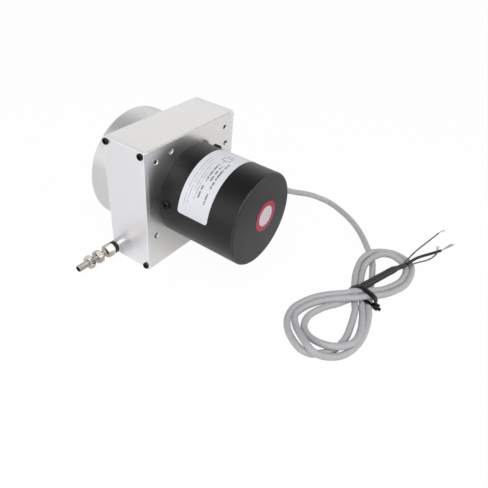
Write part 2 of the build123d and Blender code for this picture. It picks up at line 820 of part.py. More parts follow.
with BuildPart() as code_disc:
    with BuildSketch(outward_plane(-disc_y)):
        Circle(disc_radius)
        Circle(encoder_shaft_radius + fit_gap, mode=Mode.SUBTRACT)
        with PolarLocations(disc_radius - disc_slot_length, disc_slot_count):
            Rectangle(disc_slot_length, disc_slot_width, mode=Mode.SUBTRACT)
    extrude(amount=disc_thickness)
write(code_disc, "code_disc")

with BuildPart() as disc_collar:
    with BuildSketch(outward_plane(-disc_y + disc_thickness)):
        Circle(disc_hub_radius)
        Circle(encoder_shaft_radius + fit_gap, mode=Mode.SUBTRACT)
    extrude(amount=disc_collar_length)
write(disc_collar, "disc_collar")

with BuildPart() as optical_head:
    with BuildSketch(outward_plane(-encoder_front_y)):
        with Locations((0, disc_radius)):
            Rectangle(head_width, 2 * head_reach)
    extrude(amount=board_gap)
    # slot that the disc's edge turns in
    with BuildSketch(outward_plane(-disc_y - head_gap)):
        with Locations((0, disc_radius + head_gap - head_reach)):
            Rectangle(2 * head_width, 2 * head_reach)
    extrude(amount=disc_thickness + 2 * head_gap, mode=Mode.SUBTRACT)
write(optical_head, "optical_head")

board_front_y = board_y - board_thickness
with BuildPart() as circuit_board:
    with BuildSketch(outward_plane(-board_y)):
        Circle(board_radius)
        with PolarLocations(standoff_circle_radius, standoff_count, start_angle=spacer_start_angle):
            Circle(small_screw_radius + static_gap, mode=Mode.SUBTRACT)
        # notch that the cable's cores pass through
        with Locations((board_radius, 0)):
            SlotCenterToCenter(2 * cable_radius, 2 * cable_radius, mode=Mode.SUBTRACT)
    extrude(amount=board_thickness)
write(circuit_board, "circuit_board")

with BuildPart() as board_spacers:
    with BuildSketch(outward_plane(-encoder_front_y)):
        with PolarLocations(standoff_circle_radius, standoff_count, start_angle=spacer_start_angle):
            Circle(spacer_radius)
            Circle(small_screw_radius + static_gap, mode=Mode.SUBTRACT)
    extrude(amount=board_gap)
write(board_spacers, "board_spacers")

board_screw = socket_screw(
    small_screw_radius,
    board_thickness + board_gap + base_screw_reach,
    small_head_radius,
    board_head_height,
    small_socket_flats,
)
with BuildPart() as board_screws:
    with Locations(outward_plane(-board_front_y)):
        with PolarLocations(standoff_circle_radius, standoff_count, start_angle=spacer_start_angle):
            add(board_screw)
write(board_screws, "board_screws")

with BuildPart() as board_connector:
    with BuildSketch(outward_plane(-board_front_y)):
        with Locations((connector_offset, 0)):
            Rectangle(connector_width, (connector_pole_count + 0.5) * connector_pole_pitch)
    extrude(amount=connector_height)
    with BuildSketch(outward_plane(-board_front_y + connector_height)):
        with Locations((connector_offset, 0)):
            with GridLocations(0, connector_pole_pitch, 1, connector_pole_count):
                Circle(connector_pole_radius)
    extrude(amount=-connector_height / 2, mode=Mode.SUBTRACT)
write(board_connector, "board_connector")

# Cable gland

hex_corner_radius = gland_hex_flats / math.sqrt(3)
locknut_seat = math.sqrt(cover_inner_radius ** 2 - hex_corner_radius ** 2) - static_gap
gland_hex_top = spot_face_distance + gland_hex_thickness
gland_thread_top = gland_hex_top + gland_nut_length - gland_nut_lip - seat_gap
gland_inner_end = locknut_seat - gland_locknut_thickness - gland_thread_past
nut_base = gland_hex_top + static_gap
nut_top = nut_base + gland_nut_length
gland_end = nut_top + gland_dome_length


def gland_plane(distance):
    """A plane across the gland, facing along the cable's way out."""
    return radial_plane(gland_angle, gland_y, distance)


with BuildPart() as gland_body:
    with BuildSketch(gland_plane(gland_inner_end)):
        Circle(gland_thread_radius)
    extrude(amount=gland_thread_top - gland_inner_end)
    with BuildSketch(gland_plane(spot_face_distance)):
        RegularPolygon(hex_corner_radius, 6)
    extrude(amount=gland_hex_thickness)
    with Locations(gland_plane(gland_thread_top)):
        Hole(gland_bore_radius, gland_thread_top - gland_inner_end)
write(gland_body, "gland_body")

with BuildPart() as gland_nut:
    with BuildSketch(gland_plane(nut_base)):
        RegularPolygon(hex_corner_radius, 6)
    extrude(amount=gland_nut_length)
    with BuildSketch(gland_plane(nut_top)):
        Circle(gland_hex_flats / 2)
    with BuildSketch(gland_plane(gland_end)):
        Circle(gland_hex_flats / 2 - gland_dome_rim)
    loft()
    with Locations(gland_plane(gland_end)):
        Hole(cable_radius + seat_gap, gland_nut_length + gland_dome_length)
    with BuildSketch(gland_plane(nut_base)):
        Circle(gland_thread_radius + thread_gap)
    extrude(amount=gland_nut_length - gland_nut_lip, mode=Mode.SUBTRACT)
write(gland_nut, "gland_nut")

with BuildPart() as gland_seal:
    with BuildSketch(gland_plane(gland_hex_top - gland_seal_depth)):
        Circle(gland_bore_radius - fit_gap)
        Circle(cable_radius + fit_gap, mode=Mode.SUBTRACT)
    extrude(amount=gland_thread_top - gland_hex_top + gland_seal_depth)
write(gland_seal, "gland_seal")

with BuildPart() as gland_locknut:
    with BuildSketch(gland_plane(locknut_seat)):
        RegularPolygon(hex_corner_radius, 6)
        Circle(gland_thread_radius + thread_gap, mode=Mode.SUBTRACT)
    extrude(amount=-gland_locknut_thickness)
write(gland_locknut, "gland_locknut")

# Stickers

label_near_y = front_y - label_near_offset

with BuildPart() as rating_label:
    label_inner = cover_radius + label_lift
    label_outer = label_inner + label_thickness
    middle_angle = (label_start_angle + label_end_angle) / 2

    def on_circle(radius, angle):
        return (radius * math.cos(math.radians(angle)), radius * math.sin(math.radians(angle)))

    with BuildSketch(outward_plane(-label_near_y)):
        with BuildLine():
            ThreePointArc(
                on_circle(label_inner, label_start_angle),
                on_circle(label_inner, middle_angle),
                on_circle(label_inner, label_end_angle),
            )
            ThreePointArc(
                on_circle(label_outer, label_start_angle),
                on_circle(label_outer, middle_angle),
                on_circle(label_outer, label_end_angle),
            )
            for angle in (label_start_angle, label_end_angle):
                Line(on_circle(label_inner, angle), on_circle(label_outer, angle))
        make_face()
    extrude(amount=label_width)
    corner_edges = rating_label.edges().filter_by(GeomType.LINE)
    corner_edges = corner_edges.filter_by(lambda edge: edge.length < 2 * label_thickness)
    fillet(corner_edges, label_corner_radius)
write(rating_label, "rating_label")

with BuildPart() as end_badge:
    with BuildSketch(outward_plane(-cover_end_y)):
        with Locations((badge_offset_x, badge_offset_z)):
            Circle(badge_radius)
    extrude(amount=badge_thickness)
write(end_badge, "end_badge")

# Wire outlet, wire and the fitting on its end

nozzle_end_x = -half_width - nozzle_length
buffer_start_x = nozzle_end_x - seat_gap
sleeve_start_x = buffer_start_x - buffer_length - static_gap
stud_start_x = sleeve_start_x - sleeve_length


def wire_plane(x):
    """A plane across the wire, facing -X, the way that the wire is pulled."""
    return Plane(origin=(x, wire_line_y, wire_line_z), x_dir=(0, 1, 0), z_dir=(-1, 0, 0))


with BuildPart() as wire_nozzle:
    with BuildSketch(wire_plane(-profile_half)):
        Circle(nozzle_spigot_radius)
    extrude(amount=end_plate_thickness)
    with BuildSketch(wire_plane(-half_width)):
        Circle(nozzle_radius)
    extrude(amount=nozzle_length)
    chamfer(wire_nozzle.edges().sort_by(Axis.X)[0], nozzle_chamfer)
    with Locations(wire_plane(nozzle_end_x)):
        Hole(bush_radius + fit_gap, nozzle_length + end_plate_thickness)
write(wire_nozzle, "wire_nozzle")

with BuildPart() as guide_bush:
    with BuildSketch(wire_plane(-profile_half)):
        Circle(bush_radius)
        Circle(bush_bore_radius, mode=Mode.SUBTRACT)
    extrude(amount=nozzle_length + end_plate_thickness)
    bore_edges = guide_bush.edges().filter_by(GeomType.CIRCLE)
    bore_edges = bore_edges.filter_by(lambda edge: edge.radius < 2 * bush_bore_radius)
    chamfer(bore_edges, bush_flare_radius - bush_bore_radius)
write(guide_bush, "guide_bush")

with BuildPart() as wire_buffer:
    with BuildSketch(wire_plane(buffer_start_x)):
        Circle(buffer_radius)
        Circle(wire_radius + fit_gap, mode=Mode.SUBTRACT)
    extrude(amount=buffer_length)
    rim_edges = wire_buffer.edges().filter_by(GeomType.CIRCLE)
    rim_edges = rim_edges.filter_by(lambda edge: edge.radius > buffer_radius / 2)
    fillet(rim_edges, buffer_round)
write(wire_buffer, "wire_buffer")

ferrule_start_x = sleeve_start_x - sleeve_front_wall - static_gap
with BuildPart() as wire_ferrule:
    with BuildSketch(wire_plane(ferrule_start_x)):
        Circle(ferrule_radius)
        Circle(wire_radius + fit_gap, mode=Mode.SUBTRACT)
    extrude(amount=ferrule_length)
write(wire_ferrule, "wire_ferrule")

wound_outer_radius = drum_wrap_radius + wire_radius
wire_start_x = -math.sqrt((wound_outer_radius + 2 * wire_radius) ** 2 - drum_wrap_radius ** 2)
with BuildPart() as draw_wire:
    with BuildSketch(wire_plane(wire_start_x)):
        Circle(wire_radius)
    extrude(amount=wire_start_x - ferrule_start_x + ferrule_length)
write(draw_wire, "draw_wire")

with BuildPart() as terminal_sleeve:
    with BuildSketch(wire_plane(sleeve_start_x)):
        RegularPolygon(sleeve_flats / math.sqrt(3), 6)
    extrude(amount=sleeve_length)
    with BuildSketch(wire_plane(sleeve_start_x - sleeve_front_wall)):
        Circle(ferrule_radius + running_gap)
    extrude(amount=sleeve_length - sleeve_front_wall, mode=Mode.SUBTRACT)
    with Locations(wire_plane(stud_start_x)):
        Hole(2 * wire_radius, sleeve_length)
write(terminal_sleeve, "terminal_sleeve")

stud_clamped_length = nut_outer_offset + nut_outer_thickness + stud_free_gap
with BuildPart() as terminal_stud:
    with BuildSketch(wire_plane(stud_start_x)):
        Circle(stud_radius)
    extrude(amount=stud_clamped_length)
    # the free end past the nuts is slightly thinner, so that a nut starts on it easily
    with BuildSketch(wire_plane(stud_start_x - stud_clamped_length)):
        Circle(stud_free_radius)
    extrude(amount=stud_length - stud_clamped_length)
    chamfer(terminal_stud.edges().sort_by(Axis.X)[0], stud_chamfer)
    with Locations(wire_plane(stud_start_x - stud_length)):
        Hole(stud_hole_radius, stud_hole_depth)
write(terminal_stud, "terminal_stud")

with BuildPart() as terminal_nuts:
    for nut_offset, nut_thickness in (
        (nut_inner_offset, nut_inner_thickness),
        (nut_outer_offset, nut_outer_thickness),
    ):
        with BuildSketch(wire_plane(stud_start_x - nut_offset)):
            RegularPolygon(nut_flats / math.sqrt(3), 6)
            Circle(stud_radius + fit_gap, mode=Mode.SUBTRACT)
        extrude(amount=nut_thickness)
write(terminal_nuts, "terminal_nuts")

# Signal cable: out of the gland, down to the floor and round to the coil.
# The route is chosen by hand, from the gland's outlet to the coil's edge.

cable_route = [
    gland_plane(gland_hex_top).origin,
    gland_plane(gland_end + cable_straight_out).origin,
    (86.0, -69.5, 33.0),
    (110.0, -71.5, 19.0),
    (126.0, -77.0, 9.5),
    (138.0, -88.5, 4.4),
    (140.0, -106.0, 2.85),
    (129.0, -121.0, 2.8),
    (112.5, -139.0, 2.85),
    (95.2, -156.4, 2.8),
]


def route_radii(points):
    """One radius for each corner: a share of the shorter run, over the tangent of half the turn."""
    points = [Vector(*point) if isinstance(point, tuple) else point for point in points]
    radii = []
    for before, corner, after in zip(points, points[1:], points[2:]):
        run_in = corner - before
        run_out = after - corner
        turn = math.radians(run_in.get_angle(run_out))
        radii.append(bend_share * min(run_in.length, run_out.length) / math.tan(turn / 2))
    return radii


def tube(points, radius):
    """A round tube along straight runs joined by tangent arcs."""
    radii = route_radii(points)
    with BuildPart() as pipe:
        with BuildLine() as path:
            FilletPolyline(*points, radius=radii)
        route = path.wires()[0]
        with BuildSketch(Plane(origin=route @ 0, z_dir=route % 0)):
            Circle(radius)
        sweep(path=route)
    expected = math.pi * radius ** 2 * route.length
    print("radii", [round(r, 1) for r in radii], "length", round(route.length, 1), end=" ")
    print("volume share", round(pipe.part.volume / expected, 4))
    return pipe.part


with BuildPart() as cable:
    add(tube(cable_route, cable_radius))
write(cable, "cable")

# The coil: a figure of eight, tied at its waist. One solid of its outer shape.

coil_loops = [
    # centre and half sizes of the loop and of its opening, end of the opening beside the waist, height
    ((-13.0, -172.0), (39.0, 31.0), (-12.5, -172.5), (20.5, 12.5), 10.0, 9.0),
    ((78.0, -179.5), (33.0, 25.5), (76.0, -180.5), (20.5, 14.0), 52.0, 2 * cable_radius),
]
incoming_strand = [(92.0, -158.4), (45.0, -184.0)]
crossing = (85.0, -160.5)
tie_inner_half = waist_half_width + static_gap
tie_inner_height = waist_height - tie_thickness
tie_height = tie_inner_height + 2 * tie_thickness


def tie_plane(x):
    """A plane across the coil's waist, standing on the floor."""
    return Plane(origin=(x, waist_y, 0), x_dir=(0, 1, 0), z_dir=(1, 0, 0))


def tie_loop(growth):
    """The tie's loop across the waist, this much outside the strands: a flat foot and a low arch."""
    half = tie_inner_half + growth
    foot = tie_thickness - growth
    with BuildSketch() as loop:
        with BuildLine():
            FilletPolyline(
                (-half, tie_shoulder),
                (-half, foot),
                (half, foot),
                (half, tie_shoulder),
                radius=tie_corner_radius + growth,
            )
            ThreePointArc((-half, tie_shoulder), (0, waist_height + growth), (half, tie_shoulder))
        make_face()
    return loop.sketch


strand_room = tie_loop(-static_gap)
tie_inside = tie_loop(0)
tie_outside = tie_loop(tie_thickness)

with BuildPart() as cable_coil:
    for centre, half_sizes, opening, opening_sizes, inner_x, height in coil_loops:
        with BuildSketch():
            with BuildSketch(mode=Mode.PRIVATE) as outside:
                with Locations(centre):
                    Ellipse(*half_sizes)
                with Locations((waist_x, waist_y)):
                    Ellipse(waist_half_length, waist_half_width)
                make_hull()
            with BuildSketch(mode=Mode.PRIVATE) as inside:
                with Locations(opening):
                    Ellipse(*opening_sizes)
                with Locations((inner_x, opening[1])):
                    Circle(cable_radius)
                make_hull()
            add(outside.sketch)
            add(inside.sketch, mode=Mode.SUBTRACT)
        extrude(amount=height)
    # the incoming strand, which crosses under the loop and then its opening
    with BuildSketch():
        with BuildLine():
            Line(*incoming_strand)
        trace(line_width=2 * cable_radius)
    extrude(amount=2 * cable_radius)
    with BuildSketch():
        with Locations(crossing):
            Ellipse(crossing_half_length, 2 * cable_radius)
    extrude(amount=4 * cable_radius)
    with BuildSketch():
        with Locations((waist_x, waist_y)):
            Ellipse(waist_half_length, waist_half_width)
    extrude(amount=waist_height)
    fillet(cable_coil.edges().sort_by(Axis.Z)[-1], waist_round)
    # groove that the tie is drawn into
    with BuildSketch(tie_plane(waist_x - tie_head / 2 - seat_gap)):
        Rectangle(4 * waist_half_width, 4 * waist_height)
        add(strand_room, mode=Mode.SUBTRACT)
    extrude(amount=tie_head + 2 * seat_gap, mode=Mode.SUBTRACT)
write(cable_coil, "cable_coil")

with BuildPart() as cable_tie:
    with BuildSketch(tie_plane(waist_x - tie_width / 2)):
        add(tie_outside)
        add(tie_inside, mode=Mode.SUBTRACT)
    extrude(amount=tie_width)
    head_y = waist_y - tie_inner_half - tie_head / 2
    with BuildSketch(Plane.XY.offset(tie_head_lift)):
        with Locations((waist_x, head_y)):
            Rectangle(tie_head, tie_head)
    extrude(amount=tie_head)
    # the tie's cut end, leaving the head downwards
    tail_plane = Plane(origin=(waist_x, head_y, tie_head_lift + tie_head / 2), z_dir=(-0.9, -0.42, -0.1))
    with BuildSketch(tail_plane):
        Rectangle(tie_tail_width, tie_thickness)
    extrude(amount=tie_tail_length)
write(cable_tie, "cable_tie")

# Heat shrink sleeve over the cable's end, thick and then thin, and the three leads

sleeve_route = [(40.0, -175.6, 9.1), (73.0, -188.7, 9.1), (88.2, -194.2, 9.1)]
with BuildPart() as end_sleeve:
    for near, far, radius in (
        (sleeve_route[0], sleeve_route[1], sleeve_thick_radius),
        (sleeve_route[1], sleeve_route[2], sleeve_thin_radius),
    ):
        run = Vector(*far) - Vector(*near)
        with BuildSketch(Plane(origin=near, z_dir=run)):
            Circle(radius)
        extrude(amount=run.length)
write(end_sleeve, "end_sleeve")

lead_routes = [
    (
        "brown_lead",
        lead_radius,
        [
            (89.4, -192.9, 10.1),
            (104.0, -193.0, 8.4),
            (122.0, -194.2, 6.2),
            (141.0, -196.6, 4.0),
            (157.0, -198.6, 2.4),
            (170.2, -200.2, 1.2),
        ],
    ),
    (
        "screen_lead",
        screen_lead_radius,
        [
            (90.6, -194.6, 8.4),
            (103.0, -196.6, 7.3),
            (116.0, -200.4, 5.2),
            (128.0, -205.8, 3.6),
            (140.0, -211.5, 3.0),
        ],
    ),
    (
        "blue_lead",
        lead_radius,
        [
            (89.6, -196.6, 9.2),
            (98.6, -199.4, 6.9),
            (108.0, -202.2, 4.4),
            (117.0, -205.9, 2.4),
            (127.0, -208.9, 1.2),
            (136.0, -209.6, 0.8),
        ],
    ),
]
for name, radius, route in lead_routes:
    with BuildPart() as lead:
        add(tube(route, radius))
    write(lead, name)

bare_routes = [
    [(170.5, -200.3, 1.2), (176.0, -201.4, 0.8), (181.0, -204.0, 0.6)],
    [(140.4, -211.7, 3.0), (151.0, -214.6, 1.6), (162.0, -219.0, 0.7)],
    [(136.3, -209.6, 0.8), (142.0, -208.4, 0.6), (148.4, -206.6, 0.6)],
]
with BuildPart() as bare_tips:
    for route in bare_routes:
        add(tube(route, bare_tip_radius))
write(bare_tips, "bare_tips")
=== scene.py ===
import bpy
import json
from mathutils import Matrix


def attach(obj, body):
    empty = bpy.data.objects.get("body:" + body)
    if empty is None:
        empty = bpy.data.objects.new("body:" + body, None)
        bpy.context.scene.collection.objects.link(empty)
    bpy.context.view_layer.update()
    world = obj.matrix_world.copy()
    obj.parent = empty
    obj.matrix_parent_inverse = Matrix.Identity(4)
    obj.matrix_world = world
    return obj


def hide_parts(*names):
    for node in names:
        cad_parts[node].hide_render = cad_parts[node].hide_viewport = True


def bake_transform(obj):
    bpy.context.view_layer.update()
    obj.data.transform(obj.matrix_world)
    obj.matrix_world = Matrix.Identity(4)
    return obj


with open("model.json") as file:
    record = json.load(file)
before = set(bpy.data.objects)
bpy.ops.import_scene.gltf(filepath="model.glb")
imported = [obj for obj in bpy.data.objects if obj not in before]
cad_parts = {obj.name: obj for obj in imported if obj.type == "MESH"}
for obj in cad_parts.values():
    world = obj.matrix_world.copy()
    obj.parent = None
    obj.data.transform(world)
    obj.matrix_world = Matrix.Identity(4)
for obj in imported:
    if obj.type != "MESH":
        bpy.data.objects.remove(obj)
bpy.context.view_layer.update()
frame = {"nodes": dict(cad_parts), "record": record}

import json
import math

import bmesh
import bpy
from mathutils import Matrix, Vector

scene = bpy.context.scene
nodes = frame["nodes"]
mm = 0.001

# Places on the sensor, in millimetres
half_side = 55.0
half_depth = 21.25
axis_height = 57.0
wire_y = 13.2
wire_height = 11.0


# Camera, as the photograph was taken

image_side = 488
focal_pixels = 501.2
view_azimuth = math.radians(-57.9)
view_elevation = math.radians(37.9)
view_roll = math.radians(5.6)
view_distance = 439.4 * mm
view_slide = (61.9 * mm, -55.4 * mm)
view_target = Vector((0, 0, 55 * mm))

back = Vector((
    math.sin(view_azimuth) * math.cos(view_elevation),
    -math.cos(view_azimuth) * math.cos(view_elevation),
    math.sin(view_elevation),
))
level_right = Vector((0, 0, 1)).cross(back).normalized()
level_up = back.cross(level_right)
right = level_right * math.cos(view_roll) + level_up * math.sin(view_roll)
up = level_up * math.cos(view_roll) - level_right * math.sin(view_roll)

camera_data = bpy.data.cameras.new("camera")
camera_data.sensor_width = 36
camera_data.lens = focal_pixels / image_side * camera_data.sensor_width
camera_data.clip_start = 0.01
camera = bpy.data.objects.new("camera", camera_data)
scene.collection.objects.link(camera)
place = Matrix((right, up, back)).transposed().to_4x4()
place.translation = view_target + back * view_distance + right * view_slide[0] + up * view_slide[1]
camera.matrix_world = place
scene.camera = camera


# Maths on the sockets of a node tree

class Value:
    """A number, colour or vector in a node tree: the output of one of its nodes."""

    def __init__(self, nodes, socket):
        self.nodes = nodes
        self.socket = socket

    def maths(self, operation, *operands):
        return self.nodes.node("ShaderNodeMath", {"operation": operation}, operands)

    def __add__(self, other):
        return self.maths("ADD", self, other)

    __radd__ = __add__

    def __sub__(self, other):
        return self.maths("SUBTRACT", self, other)

    def __rsub__(self, other):
        return self.maths("SUBTRACT", other, self)

    def __mul__(self, other):
        return self.maths("MULTIPLY", self, other)

    __rmul__ = __mul__

    def __truediv__(self, other):
        return self.maths("DIVIDE", self, other)

    def __pow__(self, other):
        return self.maths("POWER", self, other)

    def __gt__(self, other):
        return self.maths("GREATER_THAN", self, other)

    def __lt__(self, other):
        return self.maths("LESS_THAN", self, other)

    def __abs__(self):
        return self.maths("ABSOLUTE", self)

    def within(self, low, high):
        """1 between these two, 0 outside."""
        return (self > low) * (self < high)

    def most(self, other):
        return self.maths("MAXIMUM", self, other)

    def least(self, other):
        return self.maths("MINIMUM", self, other)

    def faded(self, low, high):
        """0 below the first, 1 above the second, and a soft step between."""
        settings = {"interpolation_type": "SMOOTHSTEP"}
        inputs = {"Value": self, "From Min": low, "From Max": high}
        return self.nodes.node("ShaderNodeMapRange", settings, inputs)


class Nodes:
    """A node tree, written as expressions."""

    def __init__(self, tree):
        self.tree = tree

    def node(self, kind, settings, inputs, output=0):
        """Adds a node: its settings first, then the values or links of its sockets."""
        made = self.tree.nodes.new(kind)
        for name, value in settings.items():
            setattr(made, name, value)
        pairs = inputs.items() if isinstance(inputs, dict) else enumerate(inputs)
        for key, value in pairs:
            self.connect(made.inputs[key], value)
        return Value(self, made.outputs[output])

    def connect(self, socket, value):
        if isinstance(value, Value):
            self.tree.links.new(value.socket, socket)
        else:
            socket.default_value = value

    def others(self, value, *names):
        """Further outputs of the node that this value comes from."""
        return [Value(self, value.socket.node.outputs[name]) for name in names]


class Finish(Nodes):
    """A material and the nodes that make it."""

    def __init__(self, name, colour, roughness, metallic=0.0, **fixed):
        self.material = bpy.data.materials.new(name)
        self.material.use_nodes = True
        super().__init__(self.material.node_tree)
        self.shader = self.tree.nodes["Principled BSDF"]
        self.coordinates = self.node("ShaderNodeTexCoord", {}, {}, "Object")
        self.set("Base Color", (*colour, 1))
        self.set("Roughness", roughness)
        self.set("Metallic", metallic)
        for name, value in fixed.items():
            self.set(name.replace("_", " ").title().replace("Ior", "IOR"), value)

    def set(self, name, value):
        self.connect(self.shader.inputs[name], value)

    def stretched(self, scale):
        """Object coordinates, scaled along each axis."""
        return self.node("ShaderNodeMapping", {}, {"Vector": self.coordinates, "Scale": scale})

    def noise(self, scale, detail=3.0, where=None, roughness=0.5):
        inputs = {"Vector": where or self.coordinates, "Scale": scale, "Detail": detail, "Roughness": roughness}
        return self.node("ShaderNodeTexNoise", {}, inputs, "Fac")

    def axes(self):
        x = self.node("ShaderNodeSeparateXYZ", {}, [self.coordinates])
        return [x, *self.others(x, "Y", "Z")]

    def vector(self, x, y, z=0.0):
        return self.node("ShaderNodeCombineXYZ", {}, [x, y, z])

    def mixed(self, share, first, second):
        """A colour between two, by a share from 0 to 1."""
        settings = {"data_type": "RGBA"}
        colours = [value if isinstance(value, Value) else (*value, 1) for value in (first, second)]
        return self.node("ShaderNodeMix", settings, {0: share, 6: colours[0], 7: colours[1]}, 2)

    def bump(self, height, depth, strength=1.0):
        """Height from 0 to 1, which stands this deep in metres."""
        inputs = {"Strength": strength, "Distance": depth, "Height": height}
        self.set("Normal", self.node("ShaderNodeBump", {}, inputs))


def lighter(colour, share):
    return [min(1.0, c * share) for c in colour]


def radius_about(finish, x0, z0):
    """How far a point is from an axis along Y, and the point's angle round it."""
    x, y, z = finish.axes()
    across = x - x0
    above = z - z0
    return (across * across + above * above) ** 0.5, above.maths("ARCTAN2", above, across), y


# Finishes of the metal pieces

def brushed_metal(name, colour, roughness, grain_scale, depth, painted_edge_extent, painted_edge_tone, spread=0.05):
    """Metal with fine lines along one axis, soft handling marks, and painted light along its edges: lighter as
    a painted highlight, or darker as a painted dark line.
    """
    finish = Finish(name, colour, roughness, 1.0)
    grain = finish.noise(1.0, 5.0, finish.stretched(grain_scale), 0.6)
    patches = finish.noise(28.0, 3.0)
    specks = finish.noise(900.0, 2.0).faded(0.68, 0.74)
    x, y, z = finish.axes()
    (half_x, half_y, half_z), middle_z, reach = painted_edge_extent
    gaps = [half_x - abs(x), half_y - abs(y), half_z - abs(z - middle_z)]
    # an edge is where the second smallest of the three distances is small
    low = gaps[0].least(gaps[1])
    high = gaps[0].most(gaps[1])
    # painted light along each edge: a ragged band, mixed lighter (painted highlight) or darker (painted dark
    # line) by the edge tone
    edge = 1 - (low.most(gaps[2].least(high)) + finish.noise(300.0) * reach).faded(reach * 0.4, reach * 1.6)
    tone = finish.mixed(patches, lighter(colour, 0.965), lighter(colour, 1.03))
    tone = finish.mixed(grain.faded(0.35, 0.65) * 0.35, tone, lighter(colour, 0.9))
    tone = finish.mixed(specks * 0.12, tone, lighter(colour, 0.85))
    finish.set("Base Color", finish.mixed(edge * 0.8, tone, lighter(colour, painted_edge_tone)))
    finish.set("Roughness", grain * spread + patches * spread + (roughness - spread) - edge * 0.06)
    finish.bump(grain, depth)
    return finish.material


def turned_metal(name, colour, roughness, depth, pitch, x0=0.0, z0=axis_height * mm):
    """Metal turned on a lathe: fine rings round an axis along Y, on its faces and its sides."""
    finish = Finish(name, colour, roughness, 1.0)
    radius, angle, y = radius_about(finish, x0, z0)
    rings = finish.noise(1.0, 3.0, finish.vector(radius / pitch, y / pitch, angle * 1.5))
    patches = finish.noise(30.0, 3.0)
    sweep = finish.noise(1.0, 2.0, finish.vector(angle * 2.5, y * 12, radius * 12))
    finish.set("Base Color", finish.mixed(rings.faded(0.3, 0.7), lighter(colour, 0.94), lighter(colour, 1.04)))
    finish.set("Roughness", rings * 0.06 + patches * 0.05 + sweep * 0.05 + (roughness - 0.08))
    finish.bump(rings, depth)
    return finish.material


def bright_metal(name, colour, roughness, scale=2200.0, depth=0.000003, tarnish=None):
    """Plated or polished metal: nearly smooth, with faint clouds and marks."""
    finish = Finish(name, colour, roughness, 1.0)
    cloud = finish.noise(120.0, 4.0)
    marks = finish.noise(scale, 3.0, finish.stretched((1.0, 0.25, 1.0)))
    finish.set("Base Color", finish.mixed(cloud.faded(0.35, 0.7), colour, tarnish or lighter(colour, 0.9)))
    finish.set("Roughness", cloud * 0.1 + marks * 0.05 + (roughness - 0.07))
    finish.bump(marks, depth)
    return finish.material


def threaded_metal(name, bright, shade_tone, roughness):
    """The stud's plating: bright on the crests of its thread, with painted shade darkening the roots of the
    thread and a nearly black painted shade in its bore.
    """
    finish = Finish(name, bright, roughness, 1.0)
    x, y, z = finish.axes()
    across = y - wire_y * mm
    above = z - wire_height * mm
    out = (across * across + above * above) ** 0.5
    cloud = finish.noise(400.0, 3.0)
    # painted shade: darker in the thread's roots, and nearly black in the bore
    root_shade = 1 - out.faded(2.5 * mm, 2.8 * mm)
    bore = 1 - out.faded(1.95 * mm, 2.1 * mm)
    tone = finish.mixed(cloud, lighter(bright, 0.8), bright)
    tone = finish.mixed(root_shade * 0.8, tone, shade_tone)
    finish.set("Base Color", finish.mixed(bore, tone, lighter(shade_tone, 0.15)))
    finish.set("Roughness", root_shade * 0.25 + cloud * 0.08 + (roughness - 0.04))
    finish.bump(cloud, 0.000004)
    return finish.material


# Finishes of the plastic, rubber and painted pieces

def fine_plastic(name, colour, roughness, grain=2500.0, depth=0.00002, spread=0.1, **fixed):
    """Plastic or rubber with a slight even grain."""
    finish = Finish(name, colour, roughness, 0.0, **fixed)
    cloud = finish.noise(60.0, 3.0)
    tone = finish.mixed(cloud, lighter(colour, 1 - spread), lighter(colour, 1 + spread))
    finish.set("Base Color", tone)
    finish.set("Roughness", cloud * 0.08 + (roughness - 0.04))
    finish.bump(finish.noise(grain, 2.0), depth)
    return finish.material


def satin_cover(name, colour, roughness):
    """Black anodised cover: an even fine texture, soft smears, and a painted highlight: a paler, glossier rim
    at its closed end.
    """
    finish = Finish(name, colour, roughness, 0.0, specular_ior_level=0.3)
    radius, angle, y = radius_about(finish, 0.0, axis_height * mm)
    cloud = finish.noise(24.0, 3.0)
    smear = finish.noise(1.0, 3.0, finish.vector(angle * 3, y * 260, radius * 20))
    texture = finish.noise(3200.0, 2.0)
    # painted highlight: a paler, broken band round the rim of the closed end
    painted_rim_highlight = (radius - y).faded(0.1314, 0.1323) * (finish.noise(500.0, 3.0).faded(0.38, 0.62) * 0.6 + 0.4)
    dust = finish.noise(1500.0, 1.0).faded(0.72, 0.78)
    tone = finish.mixed(cloud, lighter(colour, 0.8), lighter(colour, 1.25))
    tone = finish.mixed(dust * 0.12, tone, (0.16, 0.16, 0.16))
    finish.set("Base Color", finish.mixed(painted_rim_highlight * 0.5, tone, (0.075, 0.075, 0.08)))
    finish.set("Roughness", cloud * 0.05 + smear * 0.06 + texture * 0.05 + (roughness - 0.08) - painted_rim_highlight * 0.12)
    finish.bump(texture, 0.000012)
    return finish.material


